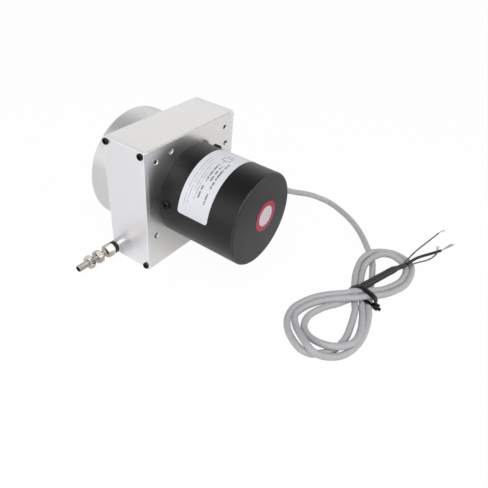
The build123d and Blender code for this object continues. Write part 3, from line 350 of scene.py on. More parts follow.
def printed_label(name, paper, ink):
    """White film with generic print: rows of short bars along the arc, and a plain rectangle with leads."""
    finish = Finish(name, paper, 0.35, 0.0, specular_ior_level=0.35)
    radius, angle, y = radius_about(finish, 0.0, axis_height * mm)
    turn = angle * (180 / math.pi)
    width = y * -1000 - 40.0

    def row(place, height, first, last, bar, seed):
        bars = finish.noise(1.0, 1.0, finish.vector(turn / bar, seed, 0.0)) > 0.46
        return width.within(place - height / 2, place + height / 2) * turn.within(first, last) * bars

    def line(low, high, first, last):
        return width.within(low, high) * turn.within(first, last)

    pale = row(4.6, 0.9, 96, 161, 1.6, 3.1)
    for place, first, last, seed in ((7.4, 98, 158, 8.2), (10.2, 100, 142, 14.9), (12.4, 112, 152, 21.7)):
        pale = pale.most(row(place, 0.9, first, last, 1.6, seed))
    dark = row(15.4, 1.5, 102, 150, 2.4, 31.3)
    for place, first, last, seed in ((18.8, 104, 126, 40.4), (22.2, 97, 153, 52.6)):
        dark = dark.most(row(place, 1.5, first, last, 2.6, seed))
    box = line(12.8, 20.2, 86, 94) * (1 - line(13.4, 19.6, 86.9, 93.1))
    box = box.most(line(14.6, 15.2, 80, 86)).most(line(17.8, 18.4, 80, 86)).most(line(16.2, 16.8, 94, 99))
    tone = finish.mixed(finish.noise(40.0), lighter(paper, 0.98), lighter(paper, 1.02))
    tone = finish.mixed(pale * 0.4, tone, ink)
    finish.set("Base Color", finish.mixed(dark.most(box) * 0.8, tone, ink))
    finish.set("Roughness", finish.noise(300.0, 3.0) * 0.12 + 0.24)
    finish.bump(finish.noise(90.0, 2.0), 0.00004)
    return finish.material


def ringed_badge(name, red, pale):
    """A round film: a red ring about a pale disc."""
    finish = Finish(name, red, 0.3, 0.0, specular_ior_level=0.3)
    radius, angle, y = radius_about(finish, 5.5 * mm, axis_height * mm + 1.2 * mm)
    disc = 1 - radius.faded(8.9 * mm, 9.1 * mm)
    tone = finish.mixed(finish.noise(80.0, 3.0), lighter(red, 0.9), lighter(red, 1.1))
    finish.set("Base Color", finish.mixed(disc, tone, pale))
    finish.set("Roughness", finish.noise(300.0, 3.0) * 0.1 + 0.2)
    finish.bump(finish.noise(120.0, 2.0), 0.00002)
    return finish.material


def cable_sheath(name, colour, roughness):
    """Soft grey sheath: a dull skin with faint scuffs and a slight unevenness along it."""
    finish = Finish(name, colour, roughness, 0.0, specular_ior_level=0.42)
    cloud = finish.noise(45.0, 4.0)
    skin = finish.noise(1400.0, 3.0)
    scuffs = finish.noise(260.0, 4.0).faded(0.60, 0.72)
    tone = finish.mixed(cloud, lighter(colour, 0.92), lighter(colour, 1.07))
    finish.set("Base Color", finish.mixed(scuffs * 0.25, tone, lighter(colour, 0.78)))
    finish.set("Roughness", cloud * 0.1 + scuffs * 0.08 + (roughness - 0.06))
    finish.bump(skin, 0.00002)
    return finish.material


# half sizes along each axis, the middle's height and how far the painted edge light reaches; the body shows no
# edge along x
body_extent = ((1.0, half_depth * mm, half_side * mm), half_side * mm, 0.9 * mm)
plate_extent = ((half_side * mm, half_depth * mm, half_side * mm), half_side * mm, 0.8 * mm)
# its edges are darker: a painted dark line along the chamfers
body_metal = brushed_metal(
    "body_metal", (0.80, 0.79, 0.775), 0.30,
    grain_scale=(30, 5000, 5000), depth=0.000001, painted_edge_extent=body_extent, painted_edge_tone=0.45,
)
# its edges are lighter: a painted highlight along the bevels
plate_metal = brushed_metal(
    "plate_metal", (0.82, 0.82, 0.84), 0.42,
    grain_scale=(5000, 5000, 40), depth=0.000002, painted_edge_extent=plate_extent, painted_edge_tone=1.16,
)
housing_metal = turned_metal("housing_metal", (0.665, 0.665, 0.665), 0.30, depth=0.000004, pitch=0.35 * mm)
inner_metal = turned_metal("inner_metal", (0.74, 0.74, 0.74), 0.32, depth=0.000004, pitch=0.5 * mm)
steel = bright_metal("steel", (0.60, 0.60, 0.61), 0.26)
silver = bright_metal("silver", (0.56, 0.56, 0.57), 0.2, scale=1800.0, depth=0.000004)
nickel = bright_metal(
    "nickel", (0.60, 0.575, 0.54), 0.13, scale=1500.0, depth=0.000004, tarnish=(0.34, 0.30, 0.25),
)
threaded_nickel = threaded_metal("threaded_nickel", (0.70, 0.67, 0.63), shade_tone=(0.07, 0.06, 0.05), roughness=0.2)
tinned = bright_metal("tinned", (0.45, 0.45, 0.45), 0.3)
black_screw = bright_metal("black_screw", (0.022, 0.022, 0.024), 0.24, scale=3000.0, depth=0.000004)
cover_black = satin_cover("cover_black", (0.006, 0.006, 0.0065), 0.34)
rubber = fine_plastic("rubber", (0.010, 0.010, 0.011), 0.55, grain=1500.0, specular_ior_level=0.35)
gland_black = fine_plastic("gland_black", (0.018, 0.018, 0.019), 0.4)
shrink_black = fine_plastic(
    "shrink_black", (0.017, 0.017, 0.018), 0.5, grain=700.0, depth=0.00008, specular_ior_level=0.4,
)
tie_black = fine_plastic("tie_black", (0.003, 0.003, 0.0035), 0.22, grain=900.0, specular_ior_level=0.25)
sheath_grey = cable_sheath("sheath_grey", (0.44, 0.44, 0.455), 0.46)
lead_black = fine_plastic("lead_black", (0.004, 0.004, 0.005), 0.34, grain=1200.0, specular_ior_level=0.25)
lead_brown = fine_plastic("lead_brown", (0.07, 0.028, 0.02), 0.35)
lead_blue = fine_plastic("lead_blue", (0.04, 0.075, 0.13), 0.35)
label_white = printed_label("label_white", paper=(0.68, 0.69, 0.735), ink=(0.10, 0.10, 0.12))
badge_red = ringed_badge("badge_red", red=(0.36, 0.012, 0.045), pale=(0.66, 0.58, 0.61))
board_green = fine_plastic("board_green", (0.02, 0.12, 0.05), 0.35)
pale_plastic = fine_plastic("pale_plastic", (0.75, 0.74, 0.70), 0.45)
smoked = fine_plastic("smoked", (0.05, 0.05, 0.055), 0.2)

slot_finishes = {
    "body_satin": body_metal,
    "housing_satin": housing_metal,
    "cover_black": cover_black,
    "screw_black": black_screw,
    "steel": steel,
    "nickel": nickel,
    "coupling": inner_metal,
    "rubber": rubber,
    "gland_plastic": gland_black,
    "disc": smoked,
    "board": board_green,
    "spacer": pale_plastic,
    "label": label_white,
    "badge": badge_red,
    "cable_grey": sheath_grey,
    "tie_black": tie_black,
    "shrink": shrink_black,
    "brown": lead_brown,
    "blue": lead_blue,
    "tinned": tinned,
}
own_finishes = {
    "left_end_plate": plate_metal,
    "right_end_plate": plate_metal,
    "wire_nozzle": silver,
    "measuring_drum": inner_metal,
    "front_flange": inner_metal,
    "encoder_base": inner_metal,
    "spring_arbor": inner_metal,
}
for part in frame["record"]["subparts"]:
    finish = own_finishes.get(part["node"], slot_finishes[part["material_slot"]])
    nodes[part["node"]].data.materials.clear()
    nodes[part["node"]].data.materials.append(finish)


# Signal cable: to the coil, under its waist, then round its loops and back through the tie into the sleeve

cable_diameter = 5.5 * mm
gland_tilt = math.radians(-7.0)
gland_depth = -66.0


from_gland = [
    (43.57, -66, 51.65), (60, -66, 50.2), (68.5, -66, 45.7), (80.5, -66.5, 37.3), (92.5, -67, 29.9),
    (105, -69, 23.4), (118.5, -72, 17), (129, -76, 11.8), (136.5, -81, 7), (142.5, -86.5, 3.2),
    (140.5, -97.5, 2.75), (136.5, -107, 2.75), (131, -118, 2.75), (124.5, -128, 2.75), (115.5, -138.5, 2.75),
    (106, -147.5, 2.75), (95, -156.5, 2.75),
]
under_the_waist = [
    (90, -161.5, 2.75), (83, -166, 2.75), (75.5, -170, 2.75), (66.5, -173.5, 2.75), (57, -177.5, 2.75),
    (47.5, -180.5, 3.1), (37, -184, 4.1), (30, -187, 3.6),
]
left_outer_loop = [
    (23.5, -189, 2.9), (17.5, -192.5, 2.75), (10, -195, 2.75), (1.5, -197.5, 2.75), (-7.5, -199, 2.75),
    (-16, -199.5, 2.75), (-25.5, -198.5, 2.75), (-33.5, -196, 2.75), (-39.5, -192, 2.75), (-44, -186.5, 3),
    (-47.5, -182, 4.7), (-50, -177.5, 7.4), (-48.5, -172.5, 8.4), (-45.5, -168, 8), (-41.5, -163, 6.5),
    (-37, -158, 4.8), (-32.5, -153.5, 3.3), (-27, -149, 2.75), (-22, -146.5, 2.75), (-18, -146.5, 2.75),
    (-12.5, -147.5, 2.75), (-7, -149.5, 3.1), (-2, -152.5, 4.2), (3.5, -157, 5.4), (9, -162.5, 6.6),
    (13, -168.5, 7.9), (18.5, -175, 8.6),
]
first_crossing = [
    (20.5, -178.5, 9.1), (26, -182.5, 9), (31, -186.5, 8.8), (37.5, -191, 7.1),
]
right_outer_loop = [
    (44.5, -194, 4.9), (51, -196.5, 3.5), (58, -199, 2.75), (64, -201.5, 2.75), (71.5, -203, 2.75),
    (79, -203, 2.75), (86.5, -202, 2.75), (93, -200.5, 2.75), (97.5, -198.5, 2.75), (102, -194.5, 2.75),
    (104.5, -189.5, 2.75), (105.5, -184, 2.75), (106, -178.5, 2.75), (104, -173, 2.75), (101, -168, 2.75),
    (93, -164, 5.4), (84.5, -162.5, 8.4), (78, -160.5, 8.4), (74.5, -159, 5.1), (70, -159, 2.75),
    (60.5, -161, 2.75), (52, -163.5, 2.75), (42.5, -167.5, 2.9), (34, -171, 3.8), (27.5, -174.5, 3.2),
    (20, -178.5, 2.75),
]
left_middle_loop = [
    (14, -182, 2.75), (6.5, -184, 2.75), (-0.5, -186, 2.75), (-7.5, -187.5, 2.75), (-14.5, -189, 2.75),
    (-21.5, -189.5, 2.75), (-28, -189, 2.75), (-33.5, -188, 2.75), (-39, -185, 2.75), (-43, -182, 2.75),
    (-46, -179, 2.75), (-48.5, -176.5, 2.75), (-49.5, -173, 2.75), (-50, -168.5, 2.75), (-48, -163, 2.75),
    (-45, -157.5, 2.75), (-40.5, -151.5, 2.75), (-34.5, -146.5, 2.75), (-28.5, -143.5, 2.75), (-22, -142, 2.75),
    (-15, -141.5, 2.75), (-8, -143.5, 2.9), (-1.5, -146.5, 4), (5, -151, 5.2), (11, -157, 6.6),
    (16, -163.5, 8), (20.5, -169, 8.6),
]
second_crossing = [
    (26, -172.5, 9.1), (29.5, -176.5, 9), (33, -180.5, 8.8), (40, -185, 7.1),
]
right_inner_loop = [
    (46, -188, 4.9), (52.5, -191, 3.5), (59, -193.5, 2.75), (65, -196, 2.75), (72, -198, 2.75),
    (79.5, -198, 2.75), (87, -197, 2.75), (92.5, -195, 3.2), (96, -191, 3.9), (97, -186.5, 4.6),
    (97, -183, 5.6), (96, -179, 6.9), (93.5, -175, 7.7), (90, -171, 7.9), (84, -168.5, 8.3),
    (77.5, -166.5, 8.4), (72.5, -165.5, 7.2), (69, -164.5, 4.5), (64.5, -165.5, 2.75), (55.5, -168, 2.75),
    (46.5, -171.5, 2.8), (37.5, -175.5, 4.1), (30.5, -179.5, 4), (24, -183.5, 3.2),
]
left_inner_loop = [
    (20.5, -184.5, 3), (14, -188.5, 2.75), (6, -191.5, 3.4), (-2, -194.5, 4.4), (-10, -196.5, 5.6),
    (-17.5, -197.5, 6.6), (-23.5, -197, 7.4), (-29, -194.5, 8), (-33.5, -191.5, 8.3), (-36.5, -187.5, 8.3),
    (-38.5, -183, 8.1), (-39, -177.5, 6.9), (-37.5, -172, 4.9), (-35.5, -166.5, 3.5), (-32, -161.5, 2.75),
    (-28, -158, 2.75), (-22, -156, 2.75), (-15.5, -155.5, 2.75), (-9.5, -157, 2.75), (-2.5, -159.5, 2.75),
    (3.5, -162.5, 2.75), (10, -167, 2.75), (16.5, -170, 2.75),
]
into_the_sleeve = [
    (21, -173.5, 4.3), (25.5, -175, 6.7), (30.5, -176, 8), (36, -176.6, 9), (40, -177.4, 9.1),
    (46.5, -179.4, 9.1),
]

cable_points = [
    *from_gland, *under_the_waist,
    *left_outer_loop, *first_crossing, *right_outer_loop,
    *left_middle_loop, *second_crossing, *right_inner_loop,
    *left_inner_loop, *into_the_sleeve,
]


def cord_curve(name, points, diameter, finish, thickness=None):
    """A round cord along points in millimetres, thicker or thinner at each of them if asked."""
    data = bpy.data.curves.new(name, "CURVE")
    data.dimensions = "3D"
    data.bevel_depth = diameter / 2
    data.bevel_resolution = 6
    data.use_fill_caps = True
    data.resolution_u = 8
    spline = data.splines.new("NURBS")
    spline.points.add(len(points) - 1)
    for i, (point, where) in enumerate(zip(spline.points, points)):
        point.co = (*(Vector(where) * mm), 1)
        point.radius = thickness[i] if thickness else 1.0
    spline.order_u = 3
    spline.use_endpoint_u = True
    data.materials.append(finish)
    cord = bpy.data.objects.new(name, data)
    scene.collection.objects.link(cord)
    return cord


cable = cord_curve("signal_cable", cable_points, cable_diameter, sheath_grey)
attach(cable, "housing")
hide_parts("cable", "cable_coil")

lead_routes = {
    "brown_lead": (1.4, 0.082, lead_brown, "brown", [
        (89.4, -192.9, 10.1), (104.0, -193.0, 8.4), (122.0, -194.2, 6.2),
        (141.0, -196.6, 4.0), (157.0, -198.6, 2.4), (170.2, -200.2, 1.2),
    ]),
    "screen_lead": (2.7, 0.053, lead_black, "tie_black", [
        (90.6, -194.6, 8.4), (103.0, -196.6, 7.3), (116.0, -200.4, 5.2),
        (128.0, -205.8, 3.6), (140.0, -211.5, 3.0),
    ]),
    "blue_lead": (1.4, 0.049, lead_blue, "blue", [
        (89.6, -196.6, 9.2), (98.6, -199.4, 6.9), (108.0, -202.2, 4.4),
        (117.0, -205.9, 2.4), (127.0, -208.9, 1.2), (136.0, -209.6, 0.8),
    ]),
}
for name, (diameter, length, finish, slot, route) in lead_routes.items():
    lead = cord_curve(name + "_insulation", route, diameter * mm, finish)
    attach(lead, "housing")
    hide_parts(name)


# Making pieces

def placed(at, facing, sideways):
    """Puts a form made about +Z at a point in millimetres, its top facing one way and its x axis another."""
    z = Vector(facing).normalized()
    x = (Vector(sideways) - z * z.dot(Vector(sideways))).normalized()
    matrix = Matrix((x, z.cross(x), z)).transposed().to_4x4()
    matrix.translation = at
    return matrix


def ready(name, form, finish, crease=35.0):
    """A form in millimetres becomes an object in metres, with faces outwards, and smooth but for its edges."""
    bmesh.ops.remove_doubles(form, verts=form.verts, dist=0.0005)
    bmesh.ops.recalc_face_normals(form, faces=form.faces)
    bmesh.ops.scale(form, vec=(mm, mm, mm), verts=form.verts)
    mesh = bpy.data.meshes.new(name)
    form.to_mesh(mesh)
    form.free()
    mesh.materials.append(finish)
    mesh.shade_smooth()
    mesh.set_sharp_from_angle(angle=math.radians(crease))
    made = bpy.data.objects.new(name, mesh)
    scene.collection.objects.link(made)
    return made


def fitted(made, body, slot, *replaced):
    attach(made, body)
    if replaced:
        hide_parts(*replaced)
    return made


def hexagon(flats):
    """The outline of a hexagon this wide across its flats."""
    return lambda angle: flats / 2 / math.cos((angle + math.pi / 6) % (math.pi / 3) - math.pi / 6)


def no_more_than(limit, outline):
    """An outline turned down to a radius, as the corners of a nut are."""
    return lambda angle: min(limit, outline(angle))


def lobed(radius, count, depth, twist=0.0):
    """A round outline with ribs or knurls."""
    return lambda angle: radius - depth * (0.5 - 0.5 * math.cos(count * angle + twist))


def skinned(form, rings):
    """Joins rings of points, one after the other, with faces."""
    made = [[form.verts.new(point) for point in ring] for ring in rings]
    for lower, upper in zip(made, made[1:]):
        for i in range(len(lower)):
            j = (i + 1) % len(lower)
            form.faces.new((lower[i], lower[j], upper[j], upper[i]))


def turned(profile, sides=72, place=None, form=None):
    """A form about +Z from pairs of radius and height, where a radius is a number or an outline."""
    form = form or bmesh.new()
    place = place or Matrix()
    angles = [2 * math.pi * i / sides for i in range(sides)]
    rings = []
    for radius, height in profile:
        outline = radius if callable(radius) else lambda angle, same=radius: same
        rings.append([
            place @ Vector((outline(a) * math.cos(a), outline(a) * math.sin(a), height)) for a in angles
        ])
    skinned(form, rings)
    return form


# Wire end: buffer, hexagonal sleeve, threaded stud and its two nuts, along the wire's line

def on_wire(distance, roll=0.0):
    """A place on the wire's line, this far out from the housing's left face, facing outwards."""
    sideways = (0, math.cos(math.radians(roll)), math.sin(math.radians(roll)))
    return placed((-half_side - distance, wire_y, wire_height), (-1, 0, 0), sideways)


def hexagonal(length, flats, bore, roll, distance, form=None, lead_in=0.55):
    """A hexagonal piece with turned-down corners and a countersunk bore."""
    face = flats / 2 - 0.1
    corner = flats / 2 / math.cos(math.pi / 6)
    outline = hexagon(flats)
    profile = [
        (bore, lead_in), (bore + lead_in, 0.0), (face, 0.0),
        (no_more_than(face + 0.35, outline), 0.2), (no_more_than(corner - 0.1, outline), 0.55),
        (outline, 0.75), (outline, length - 0.75),
        (no_more_than(corner - 0.1, outline), length - 0.55),
        (no_more_than(face + 0.35, outline), length - 0.2),
        (face, length), (bore + lead_in, length), (bore, length - lead_in), (bore, lead_in),
    ]
    return turned(profile, 96, on_wire(distance, roll), form)


spanner_size = 10.0
nut_bore = 2.75

buffer_round = [
    (5.25 - 0.55 * (1 - math.sin(a)), 0.55 * (1 - math.cos(a))) for a in (0.0, 0.5, 1.0, math.pi / 2)
]
buffer = ready("rubber_buffer", turned(
    [(0.7, 0.0), (4.7, 0.0), *buffer_round[1:], (5.25, 1.3), (5.12, 1.6), (5.25, 1.9),
     *[(radius, 3.2 - height) for radius, height in reversed(buffer_round[1:])],
     (4.7, 3.2), (0.7, 3.2), (0.7, 0.0)],
    72, on_wire(5.6)), rubber)
fitted(buffer, "wire_end", "rubber", "wire_buffer")

sleeve_form = hexagonal(length=7.2, flats=spanner_size, bore=1.9, roll=8.0, distance=8.9)
sleeve = ready("hexagonal_sleeve", sleeve_form, nickel)
fitted(sleeve, "terminal", "nickel", "terminal_sleeve")

nuts_form = hexagonal(length=5.0, flats=spanner_size, bore=nut_bore, roll=3.0, distance=21.5)
hexagonal(length=4.6, flats=spanner_size, bore=nut_bore, roll=21.0, distance=30.7, form=nuts_form)
nuts = ready("stud_nuts", nuts_form, nickel)
fitted(nuts, "terminal", "nickel", "terminal_nuts")

thread_pitch = 1.0
thread_depth = 0.5
stud_radius = 2.92
stud_length = 29.0


def thread_at(height, crest):
    """The outline of a screw thread at one height: a pointed ridge that winds once in each pitch."""
    def outline(angle):
        share = (height / thread_pitch - angle / (2 * math.pi)) % 1.0
        ridge = min(1.0, max(0.0, 1.25 - abs(share - 0.5) * 2.9))
        return min(crest, stud_radius - thread_depth * (1 - ridge))
    return outline


stud_profile = [(0.0, 0.0), (2.3, 0.0)]
steps = 9
for i in range(3, int(stud_length * steps) - 3):
    height = i / steps
    crest = min(stud_radius, 2.45 + (stud_length - height) * 0.9)
    stud_profile.append((thread_at(height, crest), height))
stud_profile += [
    (2.45, stud_length - 0.1), (2.35, stud_length), (2.1, stud_length), (1.9, stud_length - 0.25),
    (1.9, stud_length - 6.0), (0.0, stud_length - 7.0),
]
stud = ready("threaded_stud", turned(stud_profile, 48, on_wire(16.1)), threaded_nickel, 50.0)
fitted(stud, "terminal", "nickel", "terminal_stud")


# Draw wire: six fine strands twisted together, from the bush in the housing to the wire end

wire_start = -10.6
wire_end = -69.2
wire_sides = 24
wire_rings = []
for i in range(150):
    share = i / 149
    x = wire_start + (wire_end - wire_start) * share
    outline = lobed(0.42, 6, 0.13, share * 60)
    wire_rings.append([
        (x, wire_y + outline(a) * math.cos(a), wire_height + outline(a) * math.sin(a))
        for a in [2 * math.pi * k / wire_sides for k in range(wire_sides)]
    ])
tips = [[(x, wire_y, wire_height)] * wire_sides for x in (wire_start, wire_end)]
wire_form = bmesh.new()
skinned(wire_form, [tips[0], *wire_rings, tips[1]])
draw_wire = ready("draw_wire_strands", wire_form, steel, 80.0)
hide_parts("draw_wire")
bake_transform(draw_wire)


# Nozzle and cable gland

nozzle = ready("turned_nozzle", turned([
    (2.4, 0.0), (5.5, 0.0), (5.5, 0.5), (5.3, 0.7), (5.3, 0.95), (5.5, 1.15), (5.5, 4.6), (5.36, 5.0),
    (5.0, 5.25), (4.6, 5.3), (3.4, 5.3), (2.75, 5.05), (2.4, 4.5), (2.4, 0.0),
], 96, on_wire(0.0)), silver)
fitted(nozzle, "housing", "nickel", "wire_nozzle")

outward = Vector((math.cos(gland_tilt), 0, math.sin(gland_tilt)))
on_gland = placed(Vector((0, gland_depth, axis_height)), outward, (0, 1, 0))
gland_hexagon = hexagon(15.0)
gland = ready("gland_hexagon", turned([
    (3.3, 33.5), (6.0, 33.5), (6.0, 38.9), (7.0, 38.9), (no_more_than(7.7, gland_hexagon), 39.1),
    (no_more_than(8.35, gland_hexagon), 39.5), (gland_hexagon, 39.9), (gland_hexagon, 42.9),
    (no_more_than(8.35, gland_hexagon), 43.3), (no_more_than(7.7, gland_hexagon), 43.7), (7.0, 43.9),
    (6.2, 43.9), (6.2, 49.0), (3.3, 49.0), (3.3, 33.5),
], 96, on_gland), gland_black)
fitted(gland, "housing", "gland_plastic", "gland_body")
rises = [math.sin(math.radians(10 * step)) for step in range(1, 9)]
dome = [(8.1 - 5.0 * rise ** 2.2, 50.5 + 7.0 * rise) for rise in rises]
compression_nut = ready("gland_ribbed_nut", turned([
    (3.1, 44.0), (7.0, 44.0), (7.7, 44.2), (lobed(8.2, 12, 0.3), 44.8), (lobed(8.35, 12, 0.55), 45.6),
    (lobed(8.35, 12, 0.55), 49.0), (lobed(8.2, 12, 0.3), 49.8), (8.1, 50.5), *dome, (3.05, 57.3), (3.05, 44.0),
], 96, on_gland), gland_black)
fitted(compression_nut, "housing", "gland_plastic", "gland_nut")


# Screws, set in their places by one Geometry Nodes tree

class Shape(Nodes):
    """A Geometry Nodes tree with named inputs."""

    def __init__(self, name, **inputs):
        super().__init__(bpy.data.node_groups.new(name, "GeometryNodeTree"))
        face = self.tree.interface
        face.new_socket("Geometry", in_out="INPUT", socket_type="NodeSocketGeometry")
        self.names = {
            key: face.new_socket(key, in_out="INPUT", socket_type=kind).identifier
            for key, kind in inputs.items()
        }
        face.new_socket("Geometry", in_out="OUTPUT", socket_type="NodeSocketGeometry")
        self.start = self.tree.nodes.new("NodeGroupInput")

    def given(self, name):
        return Value(self, self.start.outputs[name])

    def vector_of(self, name):
        return self.node("GeometryNodeInputNamedAttribute", {"data_type": "FLOAT_VECTOR"}, {"Name": name})

    def ends(self, geometry):
        """The tree's last nodes: real geometry, with its material."""
        real = self.node("GeometryNodeRealizeInstances", {}, [geometry])
        shown = self.node("GeometryNodeSetMaterial", {}, {"Geometry": real, "Material": self.given("finish")})
        end = self.tree.nodes.new("NodeGroupOutput")
        self.connect(end.inputs[0], shown)

    def made(self, name, places, crease=35.0, **values):
        """Runs the tree on places, each a point in millimetres and the way it faces, and keeps its mesh."""
        mesh = bpy.data.meshes.new(name)
        mesh.from_pydata([Vector(at) * mm for at, _ in places], [], [])
        facing = mesh.attributes.new("facing", "FLOAT_VECTOR", "POINT")
        for i, (_, way) in enumerate(places):
            facing.data[i].vector = way
        made = bpy.data.objects.new(name, mesh)
        scene.collection.objects.link(made)
        modifier = made.modifiers.new(name, "NODES")
        modifier.node_group = self.tree
        for key, value in values.items():
            modifier[self.names[key]] = value
        seen = bpy.context.evaluated_depsgraph_get()
        plain = bpy.data.meshes.new_from_object(made.evaluated_get(seen), depsgraph=seen)
        made.modifiers.remove(modifier)
        made.data = plain
        plain.shade_smooth()
        plain.set_sharp_from_angle(angle=math.radians(crease))
        return made


def repeating_tree():
    """The same piece at every point, its top facing the point's own way."""
    shape = Shape("set_in_place", piece="NodeSocketObject", size="NodeSocketFloat", finish="NodeSocketMaterial")
    piece = shape.node("GeometryNodeObjectInfo", {}, {"Object": shape.given("piece")}, "Geometry")
    turn = shape.node("FunctionNodeAlignRotationToVector", {"axis": "Z"}, {"Vector": shape.vector_of("facing")})
    shape.ends(shape.node("GeometryNodeInstanceOnPoints", {}, {
        "Points": shape.given("Geometry"), "Instance": piece, "Rotation": turn, "Scale": shape.given("size"),
    }))
    return shape


def thread_tree():
    """Screw thread in a hole: a ridge wound down from every point."""
    shape = Shape(
        "thread_in_hole", radius="NodeSocketFloat", pitch="NodeSocketFloat", turns="NodeSocketFloat",
        finish="NodeSocketMaterial",
    )
    radius, pitch, turns = [shape.given(name) for name in ("radius", "pitch", "turns")]
    winding = shape.node("GeometryNodeCurveSpiral", {}, {
        "Resolution": 24, "Rotations": turns, "Start Radius": radius, "End Radius": radius,
        "Height": pitch * turns * -1,
    })
    ridge = shape.node(
        "GeometryNodeCurvePrimitiveCircle", {"mode": "RADIUS"}, {"Resolution": 6, "Radius": pitch * 0.3},
    )
    thread = shape.node(
        "GeometryNodeCurveToMesh", {}, {"Curve": winding, "Profile Curve": ridge, "Fill Caps": True},
    )
    turn = shape.node("FunctionNodeAlignRotationToVector", {"axis": "Z"}, {"Vector": shape.vector_of("facing")})
    shape.ends(shape.node("GeometryNodeInstanceOnPoints", {}, {
        "Points": shape.given("Geometry"), "Instance": thread, "Rotation": turn,
    }))
    return shape


def screw_form(head, height, flats, depth, shank, length, knurls=0, dome=0.0):
    """A screw with a hexagon socket, seated at height 0: its head above, its shank below."""
    side = lobed(head, knurls, 0.12) if knurls else head
    socket = hexagon(flats)
    shoulder = [
        (head - (0.45 + dome) * (1 - math.sin(a)), height - (0.45 + dome * 0.55) * (1 - math.cos(a)))
        for a in (1.25, 0.9, 0.6, 0.3)
    ]
    return turned([
        (0.0, -length), (shank * 0.8, -length), (shank, -length + 0.3), (shank, 0.0),
        (head - 0.2, 0.0), (side, 0.2), (side, height - 0.6 - dome * 0.6),
        *reversed(shoulder), (flats / 2 + 0.55, height),
        (no_more_than(flats / 2 + 0.32, socket), height - 0.05),
        (socket, height - 0.3), (socket, height - depth), (0.0, height - depth - 0.4),
    ], 96 if knurls else 72)


set_in_place = repeating_tree()


def screws(name, form, places, slot, finish, replaced):
    pattern = ready(name + "_one", form, finish)
    made = set_in_place.made(name, places, piece=pattern, size=1.0, finish=finish)
    bpy.data.objects.remove(pattern)
    return fitted(made, "housing", slot, replaced)


def round_axis(radius, angle, y):
    across, above = math.cos(math.radians(angle)), math.sin(math.radians(angle))
    return (radius * across, y, axis_height + radius * above)


def away_from_axis(angle):
    return (math.cos(math.radians(angle)), 0, math.sin(math.radians(angle)))


def plate_corners(side):
    """The four corners of the left or right end plate, -1 or 1, and the way they face."""
    return [((side * half_side, y, z), (side, 0, 0)) for y in (-18.0, 18.0) for z in (3.25, 106.75)]


screws(
    "left_socket_screws",
    screw_form(head=2.75, height=1.7, flats=2.5, depth=1.2, shank=1.5, length=14.0, dome=0.35),
    plate_corners(-1), "screw_black", black_screw, "left_plate_screws",
)
screws(
    "right_flush_screws",
    screw_form(head=3.0, height=0.16, flats=2.0, depth=1.2, shank=1.5, length=14.0),
    plate_corners(1), "screw_black", black_screw, "right_plate_screws",
)
screws(
    "cover_button_screws",
    screw_form(head=3.6, height=1.9, flats=2.5, depth=1.1, shank=2.0, length=9.0, dome=0.9),
    [(round_axis(40.0, angle, -28.25), away_from_axis(angle)) for angle in (53, 173, 293)],
    "screw_black", black_screw, "cover_screws",
)
screws(
    "spring_housing_socket_screws",
    screw_form(head=2.75, height=3.0, flats=2.5, depth=1.5, shank=1.5, length=26.0, knurls=24),
    [(round_axis(47.5, 45 + 90 * i, 43.15), (0, 1, 0)) for i in range(4)],
    "steel", steel, "spring_housing_screws",
)

thread_in_hole = thread_tree()
front_holes = [(round_axis(51.5, angle, -20.8), (0, -1, 0)) for angle in (30, 120, 210, 300)]
base_holes = [((x, y, 0.5), (0, 0, -1)) for x in (-40.0, 40.0) for y in (-12.0, 12.0)]
for name, holes, turns in (("front_hole_threads", front_holes, 7.0), ("base_hole_threads", base_holes, 4.5)):
    threads = thread_in_hole.made(
        name, holes, 60.0, radius=2.14 * mm, pitch=0.7 * mm, turns=turns, finish=steel,
    )
    fitted(threads, "housing", "steel")


# Cable tie: a ribbed strap round the waist of the coil, its head and its cut tail

strap_line = [
    (33.0, -168.6, 2.1), (32.6, -168.0, 3.6), (32.0, -168.6, 6.0), (31.0, -171.0, 9.4), (31.4, -174.2, 11.7),
    (31.6, -178.2, 12.6), (30.0, -182.6, 12.6), (28.9, -187.2, 12.2), (28.6, -190.6, 10.6), (28.7, -192.2, 8.2),
    (29.0, -192.4, 5.8), (29.3, -191.6, 3.4), (30.0, -189.6, 1.8), (31.0, -186.0, 1.1), (32.0, -180.0, 1.0),
    (32.8, -174.0, 1.0), (33.1, -170.6, 1.25),
]


def smooth_loop(points, between):
    """A closed smooth line through points."""
    line = []
    count = len(points)
    corners = [Vector(point) for point in points]
    for i in range(count):
        a, b, c, d = [corners[(i + k) % count] for k in (-1, 0, 1, 2)]
        for j in range(between):
            t = j / between
            square = (2 * a - 5 * b + 4 * c - d) * t * t
            cube = (3 * b - a - 3 * c + d) * t ** 3
            line.append(0.5 * (2 * b + (c - a) * t + square + cube))
    return line


def strap_rings(line, width, thickness, closed, rib):
    """Cross-sections of a flat strap along a line: rounded edges, and ribs across its outer side."""
    rings = []
    count = len(line)
    middle = sum(line, Vector()) / count
    for i, point in enumerate(line):
        ahead = line[(i + 1) % count] if closed else line[min(i + 1, count - 1)]
        behind = line[i - 1] if closed else line[max(i - 1, 0)]
        along = (ahead - behind).normalized()
        across = Vector((1, 0, 0))
        across = (across - along * along.dot(across)).normalized()
        out = along.cross(across)
        if out.dot(point - middle) < 0:
            out = -out
        raised = thickness / 2 + (rib if i % 2 else 0.0)
        half = width / 2
        section = [
            (-half, -0.2), (-half + 0.25, -thickness / 2), (half - 0.25, -thickness / 2), (half, -0.2),
            (half, 0.2), (half - 0.3, thickness / 2), (half - 0.75, thickness / 2), (half - 0.95, raised),
            (0.95 - half, raised), (0.75 - half, thickness / 2), (0.3 - half, thickness / 2), (-half, 0.2),
        ]
        rings.append([point + across * u + out * v for u, v in section])
    return rings


strap_form = bmesh.new()
strap = strap_rings(smooth_loop(strap_line, between=8), width=4.9, thickness=1.4, closed=True, rib=0.16)
skinned(strap_form, [*strap, strap[0]])


